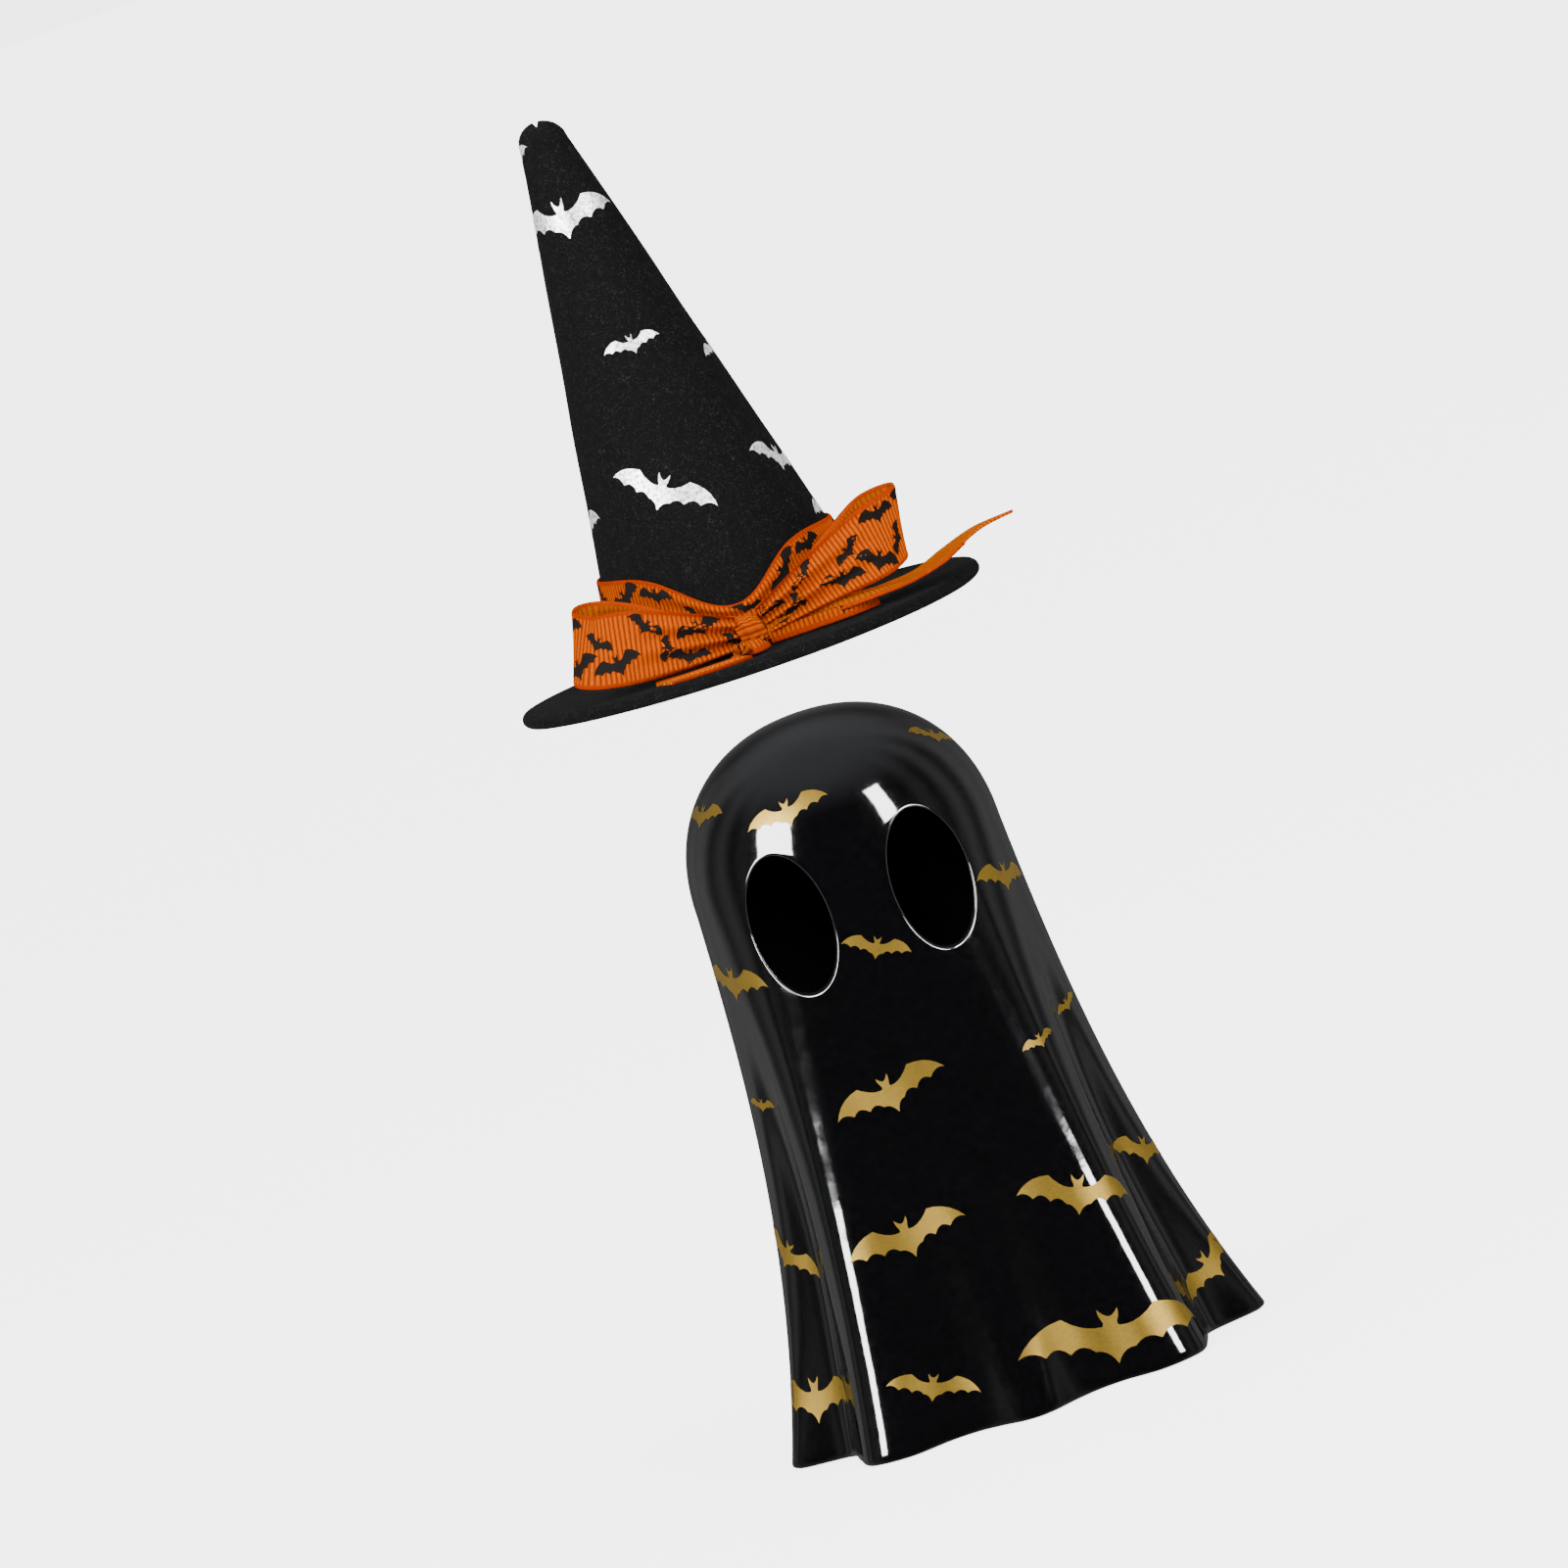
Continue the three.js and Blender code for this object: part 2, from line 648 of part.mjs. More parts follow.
// Base plate: a disc inside the cup, with a round hole for the battery door and
// two notches that its lugs drop through, a ribbed well for the coin cell, and
// a slot with two rails for the switch.
const plateRadius = lightRadius - lightWall - gap;
const doorHole = doorRadius + gap;
const lugRadius = doorRadius + lugReach;
const wellInner = lugRadius + gap;
const wellOuter = wellInner + wellWall;
const lugBottom = plateThickness + gap;
const coinBottom = lugBottom + lugThickness + gap;
const coinTop = coinBottom + coinHeight;
const wellTop = coinTop;
const knobX = (doorOffset + wellOuter + plateRadius) / 2;
const slotHalfLength = (knobLength + knobTravel) / 2 + gap;
const slotHalfWidth = knobWidth / 2 + gap;
const sunk = 0.4;

let plate = solid(raise(circle(plateRadius), 0, plateThickness));
plate = plate.subtract(solid(raise(circle(doorHole, doorOffset), -1, plateThickness + 2)));
for (const side of [0, 180]) {
  const notch = sector(doorHole - 1, lugRadius + gap, side + 90 + lugNotchAngle, lugHalfAngle + 3, doorOffset);
  plate = plate.subtract(solid(raise(notch, -1, plateThickness + 2, 6)));
}
const slot = rectangle(knobX - slotHalfWidth, knobX + slotHalfWidth, -slotHalfLength, slotHalfLength);
plate = plate.subtract(solid(raise(slot, -1, plateThickness + 2)));

const wellShape = circle(wellOuter, doorOffset);
wellShape.holes.push(circle(wellInner, doorOffset));
plate = plate.add(solid(raise(wellShape, plateThickness - sunk, wellTop - plateThickness + sunk)));
for (const angle of [60, 180, 300]) {
  const rib = sector(coinRadius + gap, wellInner + wellWall / 2, angle, 5, doorOffset);
  plate = plate.add(solid(raise(rib, coinBottom, wellTop - coinBottom, 3)));
}
const railInner = slotHalfWidth + slideFlange + gap;
const railHalfLength = slotHalfLength;
const railTop = plateThickness + 2 * gap + slideFlangeHeight;
for (const side of [-1, 1]) {
  const near = knobX + side * railInner;
  const far = near + side * 0.8;
  const rail = rectangle(Math.min(near, far), Math.max(near, far), -railHalfLength, railHalfLength);
  plate = plate.add(solid(raise(rail, plateThickness - sunk, railTop - plateThickness + sunk)));
}
add('tealight_base', surface(plate), whitePlastic);

// Battery door: a round cover with a coin slot outside and two lugs inside.
// The lugs ride over the plate until the door is turned to its notches.
let door = solid(raise(circle(doorRadius, doorOffset), doorRecess, doorThickness));
const hubRadius = doorRadius - 0.4;
const hubBottom = doorRecess + doorThickness - sunk;
door = door.add(solid(raise(circle(hubRadius, doorOffset), hubBottom, lugBottom + lugThickness - hubBottom)));
for (const angle of [90, 270]) {
  const lug = sector(hubRadius - 1, lugRadius, angle, lugHalfAngle, doorOffset);
  door = door.add(solid(raise(lug, lugBottom, lugThickness, 6)));
}
const coinSlot = rectangle(doorOffset - 6, doorOffset + 6, -0.9, 0.9);
door = door.subtract(solid(raise(coinSlot, doorRecess - 1, 1.7)));
add('battery_door', surface(door), whitePlastic);

// Coin cell: a can with a stepped lid.
const coin = revolve([
  [0, coinBottom],
  [coinRadius - 1.6, coinBottom],
  [coinRadius - 1.4, coinBottom + 0.3],
  [coinRadius - 0.2, coinBottom + 0.3],
  [coinRadius, coinBottom + 0.6],
  [coinRadius, coinTop - 0.3],
  [coinRadius - 0.3, coinTop],
  [0, coinTop],
], 32);
add('coin_cell', coin.translate(doorOffset, 0, 0), steel);

// Contacts: one spring strip bears on the coin's face from the well's rim, and
// one stands between the well and the switch.
const stripBottom = coinTop + gap;
const stripEnd = doorOffset + wellOuter;
add('contact_top', raise(rectangle(-1, stripEnd, -stripWidth / 2, stripWidth / 2), stripBottom, stripThickness), steel);

const slideTop = plateThickness + gap + slideFlangeHeight;
const tabBottom = slideTop + gap;
const tabLeft = stripEnd + gap;
const tabRight = knobX + railInner - gap;
const tab = new THREE.Shape([
  new THREE.Vector2(tabLeft, tabBottom),
  new THREE.Vector2(tabRight, tabBottom),
  new THREE.Vector2(tabRight, tabBottom + stripThickness),
  new THREE.Vector2(tabLeft + stripThickness, tabBottom + stripThickness),
  new THREE.Vector2(tabLeft + stripThickness, stripBottom + stripThickness),
  new THREE.Vector2(tabLeft, stripBottom + stripThickness),
]);
const tabSolid = raise(tab, -stripWidth / 2, stripWidth).rotateX(Math.PI / 2);
add('contact_switch', tabSolid, steel);

// Switch slider: a ribbed knob in the slot under a wider flange.
const knobStart = -knobTravel / 2;
const knobTop = plateThickness + gap + sunk;
let slider = solid(raise(rectangle(
  knobX - knobWidth / 2,
  knobX + knobWidth / 2,
  knobStart - knobLength / 2,
  knobStart + knobLength / 2,
), doorRecess, knobTop - doorRecess));
const flangeHalfLength = knobLength / 2 + 0.6;
slider = slider.add(solid(raise(rectangle(
  knobX - slotHalfWidth - slideFlange,
  knobX + slotHalfWidth + slideFlange,
  knobStart - flangeHalfLength,
  knobStart + flangeHalfLength,
), plateThickness + gap, slideFlangeHeight)));
for (let i = -1; i <= 1; i++) {
  const y = knobStart + i * knobLength / 3.4;
  const groove = rectangle(knobX - knobWidth, knobX + knobWidth, y - 0.2, y + 0.2);
  slider = slider.subtract(solid(raise(groove, doorRecess - 1, 1.3)));
}
add('switch_slider', surface(slider), { color: 0x2a2a2c, roughness: 0.5, metalness: 0 });

// LED leads: square wires down to the two strips.
for (const [name, x, foot] of [
  ['led_lead_coin', -1.27 / 2, stripBottom + stripThickness + gap],
  ['led_lead_switch', 1.27 / 2, stripBottom + stripThickness + gap],
]) {
  const half = leadSize / 2;
  const reach = name === 'led_lead_coin' ? x : tabLeft + stripThickness / 2;
  const bend = flangeBottom - gap - half;
  const wire = new THREE.Shape();
  if (reach > x) {
    wire.moveTo(x - half, ledSeat - gap);
    wire.lineTo(x - half, bend - half);
    wire.lineTo(reach - half, bend - half);
    wire.lineTo(reach - half, foot);
    wire.lineTo(reach + half, foot);
    wire.lineTo(reach + half, bend + half);
    wire.lineTo(x + half, bend + half);
    wire.lineTo(x + half, ledSeat - gap);
  } else {
    wire.moveTo(x - half, ledSeat - gap);
    wire.lineTo(x - half, foot);
    wire.lineTo(x + half, foot);
    wire.lineTo(x + half, ledSeat - gap);
  }
  add(name, raise(wire, -half, leadSize).rotateX(Math.PI / 2), steel);
}

export default group;
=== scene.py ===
import math

import bmesh
import bpy
from mathutils import Matrix, Vector, noise
from mathutils.bvhtree import BVHTree


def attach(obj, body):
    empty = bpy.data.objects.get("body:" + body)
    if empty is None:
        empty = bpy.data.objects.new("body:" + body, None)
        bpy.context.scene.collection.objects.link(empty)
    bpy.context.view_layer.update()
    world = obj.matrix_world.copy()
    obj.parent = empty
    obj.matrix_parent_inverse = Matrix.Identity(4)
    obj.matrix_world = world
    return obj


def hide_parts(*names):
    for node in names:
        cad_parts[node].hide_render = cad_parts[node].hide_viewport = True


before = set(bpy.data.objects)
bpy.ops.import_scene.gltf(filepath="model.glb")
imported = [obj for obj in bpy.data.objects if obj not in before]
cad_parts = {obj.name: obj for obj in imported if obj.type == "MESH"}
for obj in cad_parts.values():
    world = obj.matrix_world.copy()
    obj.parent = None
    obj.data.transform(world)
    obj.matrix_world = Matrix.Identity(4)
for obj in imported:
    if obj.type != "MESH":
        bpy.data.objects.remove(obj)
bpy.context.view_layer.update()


# Camera.
# A long lens that looks slightly down, at the photograph's angle. The picture
# is rolled, so the ghost leans to the left in it.
MM = 0.001
camera_place = Vector((-0.0075, -2.107, 0.371))
camera_aim = Vector((-0.0075, 0, 0.146))
camera_roll = math.radians(19.2)
camera_lens = 220.1

forward = (camera_aim - camera_place).normalized()
level = forward.cross(Vector((0, 0, 1))).normalized()
upright = level.cross(forward)
camera_right = level * math.cos(camera_roll) - upright * math.sin(camera_roll)
camera_up = level * math.sin(camera_roll) + upright * math.cos(camera_roll)
camera_data = bpy.data.cameras.new("camera")
camera_data.lens = camera_lens
camera_data.sensor_width = 36
camera_data.clip_end = 50
camera = bpy.data.objects.new("camera", camera_data)
camera_axes = Matrix((camera_right, camera_up, -forward)).transposed().to_4x4()
camera.matrix_world = Matrix.Translation(camera_place) @ camera_axes
bpy.context.scene.collection.objects.link(camera)
bpy.context.scene.camera = camera


# Studio.
# A pale floor in a white room. The glaze mirrors two soft boxes and two low
# strips, which light nothing else. Two fills and an overhead light do the rest.
def nodes_of(name):
    made = bpy.data.materials.new(name)
    made.use_nodes = True
    tree = made.node_tree
    return made, tree, tree.nodes["Principled BSDF"]


def wire(tree, *links):
    """Links nodes: each link is source, output, target and input."""
    for source, output, target, entry in links:
        tree.links.new(source.outputs[output], target.inputs[entry])


def put(node, **values):
    """Sets input values by name, with an underscore for each space."""
    for label, value in values.items():
        node.inputs[label.replace("_", " ")].default_value = value


def add(tree, kind, settings=None, **values):
    """A new shader node with its settings and input values."""
    made = tree.nodes.new("ShaderNode" + kind)
    for name, value in (settings or {}).items():
        setattr(made, name, value)
    put(made, **values)
    return made


def calculate(tree, operation, second=None):
    """A math node, its second input set where a value is given."""
    made = add(tree, "Math", {"operation": operation})
    if second is not None:
        made.inputs[1].default_value = second
    return made


def ramp(tree, stops):
    node = add(tree, "ValToRGB")
    for i in (0, -1):
        node.color_ramp.elements[i].position = stops[i][0]
        node.color_ramp.elements[i].color = (*stops[i][1], 1)
    for place, colour in stops[1:-1]:
        node.color_ramp.elements.new(place).color = (*colour, 1)
    return node


floor_mesh = bmesh.new()
bmesh.ops.create_grid(floor_mesh, x_segments=1, y_segments=1, size=300)
floor_data = bpy.data.meshes.new("floor")
floor_mesh.to_mesh(floor_data)
floor_mesh.free()
floor = bpy.data.objects.new("floor", floor_data)
bpy.context.scene.collection.objects.link(floor)
floor_paint, tree, shader = nodes_of("pale_floor")
put(
    shader, Base_Color=(0.9, 0.9, 0.9, 1), Roughness=0.9, Specular_IOR_Level=0.1,
    Emission_Color=(1, 1, 1, 1),
)
seen = add(tree, "LightPath")
lit = calculate(tree, "MULTIPLY", 3.4)
wire(tree, (seen, "Is Camera Ray", lit, 0), (lit, 0, shader, "Emission Strength"))
floor_data.materials.append(floor_paint)
floor.visible_glossy = False

world = bpy.data.worlds.new("room")
bpy.context.scene.world = world
world.use_nodes = True
sky = world.node_tree
room = sky.nodes["Background"]
put(room, Color=(1, 1, 1, 1), Strength=1.1)
mirrored = add(sky, "Background")
way = add(sky, "TexCoord")
parts_of_way = add(sky, "SeparateXYZ")
toward = calculate(sky, "MULTIPLY", -1)
around = calculate(sky, "ARCTAN2")
turned = add(sky, "MapRange", From_Min=-math.pi, From_Max=math.pi)
# Brightness of what the glaze mirrors, by degrees to the right of the camera.
bands = [
    (-180, 0.16), (-160, 0.13), (-142, 0.3), (-124, 0.5), (-110, 0.18), (-97, 0.42), (-85, 0.1), (-74, 0.24),
    (-60, 0.03), (-40, 0.012), (40, 0.012), (58, 0.03), (70, 0.3), (82, 0.1), (95, 0.5), (108, 0.16),
    (122, 0.46), (140, 0.26), (160, 0.13), (180, 0.16),
]
walls = ramp(sky, [(0.5 + turn / 360, (value, value, value)) for turn, value in bands])
walls.color_ramp.interpolation = "EASE"
up_high = add(sky, "MapRange", {"interpolation_type": "SMOOTHSTEP"}, From_Min=0.5, From_Max=0.98)
reflected = add(sky, "Mix", {"data_type": "RGBA"}, B=(0.72, 0.74, 0.78, 1))
wire(
    sky, (way, "Generated", parts_of_way, "Vector"), (parts_of_way, "Y", toward, 0),
    (parts_of_way, "X", around, 0), (toward, 0, around, 1), (around, 0, turned, "Value"),
    (turned, "Result", walls, "Fac"), (parts_of_way, "Z", up_high, "Value"),
    (up_high, "Result", reflected, "Factor"), (walls, "Color", reflected, "A"),
    (reflected, "Result", mirrored, "Color"),
)
backdrop = add(sky, "Background", Strength=4.9)
rays = add(sky, "LightPath")
by_gloss = add(sky, "MixShader")
wire(sky, (rays, "Is Glossy Ray", by_gloss, 0), (room, 0, by_gloss, 1), (mirrored, 0, by_gloss, 2))
by_camera = add(sky, "MixShader")
wire(
    sky, (rays, "Is Camera Ray", by_camera, 0), (by_gloss, 0, by_camera, 1), (backdrop, 0, by_camera, 2),
    (by_camera, 0, sky.nodes["World Output"], "Surface"),
)


def soft_box(name, turn, tilt, distance, width, height, power, seen_in_gloss, aim_height=0.14):
    data = bpy.data.lights.new(name, "AREA")
    data.shape = "RECTANGLE"
    data.size = width
    data.size_y = height
    data.energy = power
    lamp = bpy.data.objects.new(name, data)
    aim = Vector((0, 0, aim_height))
    out = Vector((
        math.sin(math.radians(turn)) * math.cos(math.radians(tilt)),
        -math.cos(math.radians(turn)) * math.cos(math.radians(tilt)),
        math.sin(math.radians(tilt)),
    ))
    lamp.location = aim + out * distance
    lamp.rotation_euler = out.to_track_quat("Z", "Y").to_euler()
    lamp.visible_glossy = seen_in_gloss
    lamp.visible_diffuse = not seen_in_gloss
    bpy.context.scene.collection.objects.link(lamp)


soft_box("box_right", 38, 26, 1.4, 0.28, 0.62, 55, True)
soft_box("box_left", -46, 26, 1.4, 0.62, 0.62, 121, True)
soft_box("strip_right", 50, 8.9, 1.28, 0.18, 0.33, 18.5, True, aim_height=0.07)
soft_box("strip_left", -56, 8.7, 1.28, 0.2, 0.34, 21, True, aim_height=0.07)
soft_box("fill_right", 42, 30, 1.5, 0.8, 0.8, 14, False)
soft_box("fill_left", -50, 30, 1.5, 0.8, 0.8, 12, False)
soft_box("overhead", 0, 80, 1.8, 1.4, 1.4, 14, False)


# Ghost shell.
# Slip-cast stoneware, hollow and open below, black gloss glaze. The hem is
# pressed into folds that fade upwards, and the eyes are cut with a punch.
SHELL_WALL = 4.5 * MM
HEAD_HALF_WIDTH = 35.4 * MM
HEAD_HALF_DEPTH = 31.5 * MM
SHOULDER = 124 * MM
DOME_RISE = 36 * MM
DOME_POWER = 2.2
FLARE_STRAIGHT = 5.4 * MM
FLARE_CURL = 15.4 * MM
FLARE_POWER = 2.6
FOOT_ROUND = 1.6 * MM
FLUTE_DEPTH = 1.5 * MM
FLUTE_ANGLE = 25
FLUTE_REACH = 112 * MM
EYE_X = 16.1 * MM
EYE_Z = 119 * MM
EYE_HALF_WIDTH = 8.7 * MM
EYE_HALF_HEIGHT = 15.9 * MM
EYE_ROUND = 0.65 * MM
HEM_STEPS = 7

# Place as shares of the hem's half width, angle on the head, fade of the fold.
HEM_HALF_WIDTH = HEAD_HALF_WIDTH + FLARE_STRAIGHT + FLARE_CURL
quarter = [
    (1, 0, 0, 1),
    (0.756, 0.169, 24, 0.9),
    (0.73, 0.338, 34, 0.85),
    (0.694, 0.516, 46, 0.85),
    (0.525, 0.599, 56, 1),
    (0.347, 0.552, 64.5, 1.15),
    (0.249, 0.562, 69.5, 1.2),
    (0.16, 0.608, 75.5, 1.15),
    (0.071, 0.673, 83, 1.1),
    (0, 0.694, 90, 1.1),
]
hem_keys = []
for side in range(4):
    run = quarter[:0:-1] if side % 2 else quarter[:-1]
    for x, y, angle, fade in run:
        left, front = side in (1, 2), side > 1
        turned = 180 - angle if left else angle
        spot = Vector((-x if left else x, -y if front else y, 0)) * HEM_HALF_WIDTH
        hem_keys.append((spot, (360 - turned if front else turned) % 360, fade))


def mix(a, b, t):
    return a + (b - a) * t


def hump(t):
    return math.cos(t * math.pi / 2) ** 2 if abs(t) < 1 else 0


def curve_at(points, t, closed=False, even=False):
    """A point on the smooth curve through the points, t from 0 to 1."""
    count = len(points)
    place = (count if closed else count - 1) * t
    i = min(int(place), count - 1 if closed else count - 2)
    w = place - i
    b, c = points[i % count], points[(i + 1) % count]
    a = points[(i - 1) % count] if closed or i else b * 2 - c
    d = points[(i + 2) % count] if closed or i + 2 < count else c * 2 - b
    if even:
        t1, t2 = (c - a) * 0.5, (d - b) * 0.5
    else:
        middle = max((c - b).length ** 0.5, 1e-6)
        early = (b - a).length ** 0.5 or middle
        late = (d - c).length ** 0.5 or middle
        t1 = ((b - a) / early - (c - a) / (early + middle) + (c - b) / middle) * middle
        t2 = ((c - b) / middle - (d - b) / (middle + late) + (d - c) / late) * middle
    return b + t1 * w + (b * -3 + c * 3 - t1 * 2 - t2) * w ** 2 + (b * 2 - c * 2 + t1 + t2) * w ** 3


def drawn_in(points, distance):
    """The closed outline drawn in by a distance, corner by corner."""
    made = []
    for i, p in enumerate(points):
        before, after = points[i - 1], points[(i + 1) % len(points)]
        a = Vector((before.y - p.y, p.x - before.x, 0)).normalized()
        b = Vector((p.y - after.y, after.x - p.x, 0)).normalized()
        middle = (a + b).normalized()
        made.append(p + middle * (distance / max(middle.dot(a), 0.45)))
    return made


hem_outlines = {}


def hem_outline(draw):
    """Evenly named points round the hem, drawn in by a distance."""
    if draw not in hem_outlines:
        keys = [key[0] for key in hem_keys]
        keys = drawn_in(keys, draw) if draw > 0 else keys
        total = len(keys) * HEM_STEPS
        hem_outlines[draw] = [curve_at(keys, i / total, closed=True) for i in range(total)]
    return hem_outlines[draw]


def shell_spot(column, height, draw):
    """A point of the body below the shoulder. Columns may be fractions."""
    outline = hem_outline(draw)
    count = len(outline)
    low = int(math.floor(column)) % count
    part = column - math.floor(column)
    place = (column / HEM_STEPS) % len(hem_keys)
    i = int(place)
    t = place - i
    start, end = hem_keys[i], hem_keys[(i + 1) % len(hem_keys)]
    angle = start[1] + ((end[1] - start[1]) % 360) * t
    hem = outline[low].lerp(outline[(low + 1) % count], part)
    up = min(max(1 - height / SHOULDER, 0), 1)
    spread = (FLARE_STRAIGHT * up + FLARE_CURL * up ** FLARE_POWER) / (FLARE_STRAIGHT + FLARE_CURL)
    weight = spread ** mix(start[2], end[2], t) if spread > 0 else 0
    turn = math.radians(angle)
    x = mix((HEAD_HALF_WIDTH - draw) * math.cos(turn), hem.x, weight)
    y = mix((HEAD_HALF_DEPTH - draw) * math.sin(turn), hem.y, weight)
    acute = min(angle % 180, 180 - angle % 180)
    flute = FLUTE_DEPTH * hump(2 * height / FLUTE_REACH - 1) * hump((acute - FLUTE_ANGLE) / 13)
    pull = 1 - flute / math.hypot(x, y)
    return Vector((x * pull, y * pull, height))


def shell_point(column, height, draw):
    """A point of one face of the shell: draw is 0 outside and the wall inside."""
    if height <= SHOULDER:
        return shell_spot(column, height, draw)
    rise = DOME_RISE - draw
    share = min((height - SHOULDER) / rise, 1)
    shrink = (1 - share ** DOME_POWER) ** (1 / DOME_POWER)
    spot = shell_spot(column, SHOULDER, draw)
    return Vector((spot.x * shrink, spot.y * shrink, height))


def edges_round(bm, loop):
    """The edges of a closed row of vertices."""
    return [bm.edges.get(pair) for pair in zip(loop, loop[1:] + loop[:1])]


def bridged(bm, a, b):
    """Joins two closed rows of vertices with a band of faces."""
    bmesh.ops.bridge_loops(bm, edges=edges_round(bm, a) + edges_round(bm, b))


def first_row(bm, places):
    """A closed row of vertices on its places."""
    row = list(bmesh.ops.create_circle(bm, segments=len(places), radius=0.05)["verts"])
    for v, place in zip(row, places):
        v.co = place
    return row


def capped(bm, row, height=None):
    """Closes a row with a fan of faces, the middle at a height."""
    poked = bmesh.ops.poke(bm, faces=[bm.faces.new(row)])
    if height is not None:
        poked["verts"][0].co.z = height


def grow(bm, loop, places):
    """Extrudes a closed row of vertices once and sets the new row on its places."""
    made = bmesh.ops.extrude_edge_only(bm, edges=edges_round(bm, loop))
    fresh = {v for v in made["geom"] if isinstance(v, bmesh.types.BMVert)}
    row = []
    for old, place in zip(loop, places):
        new = next(v for v in (e.other_vert(old) for e in old.link_edges) if v in fresh)
        new.co = place
        row.append(new)
    return row


def finished(name, bm, materials):
    """Puts a bmesh in the scene as a piece with its materials."""
    data = bpy.data.meshes.new(name)
    bm.to_mesh(data)
    bm.free()
    for polygon in data.polygons:
        polygon.use_smooth = True
    for made in materials:
        data.materials.append(made)
    piece = bpy.data.objects.new(name, data)
    bpy.context.scene.collection.objects.link(piece)
    return piece


def new_group(name, wanted):
    """A shader node group with its inputs and outputs declared."""
    made = bpy.data.node_groups.new(name, "ShaderNodeTree")
    for kind, label, socket, value in wanted:
        made_socket = made.interface.new_socket(label, in_out=kind, socket_type=socket)
        if value is not None:
            made_socket.default_value = value
    return made, made.nodes.new("NodeGroupInput"), made.nodes.new("NodeGroupOutput")


columns = len(hem_keys) * HEM_STEPS
shell = bmesh.new()
# The edge layer marks the middle row round each eye's rounded rim, which gets a painted highlight.
rim_highlight_row = shell.verts.layers.float.new("edge")
bare_inside = shell.verts.layers.float.new("inside")


def dome_heights(rise, angles):
    return [SHOULDER + rise * math.sin(math.radians(a)) ** (2 / DOME_POWER) for a in angles]


def shell_row(height, draw):
    return [shell_point(i, height, draw) for i in range(columns)]


outer_heights = [FOOT_ROUND + (SHOULDER - FOOT_ROUND) * (i / 96) for i in range(97)]
outer_heights += dome_heights(DOME_RISE, range(2, 89, 2))
inner_rise = DOME_RISE - SHELL_WALL
inner_heights = [i * (SHOULDER / 36) for i in range(37)]
inner_heights += dome_heights(inner_rise, range(6, 86, 6))

outer_rows = [first_row(shell, shell_row(outer_heights[0], 0))]
for height in outer_heights[1:]:
    outer_rows.append(grow(shell, outer_rows[-1], shell_row(height, 0)))
capped(shell, outer_rows[-1], SHOULDER + DOME_RISE)
row = outer_rows[0]
for step in (22, 45, 68, 90):
    bend = math.radians(step)
    tuck, height = FOOT_ROUND * (1 - math.cos(bend)), FOOT_ROUND * (1 - math.sin(bend))
    row = grow(shell, row, shell_row(height, tuck))
inner_rows = [grow(shell, row, shell_row(0, SHELL_WALL))]
for v in inner_rows[0]:
    v[bare_inside] = 1
for height in inner_heights[1:]:
    inner_rows.append(grow(shell, inner_rows[-1], shell_row(height, SHELL_WALL)))
capped(shell, inner_rows[-1], SHOULDER + inner_rise)


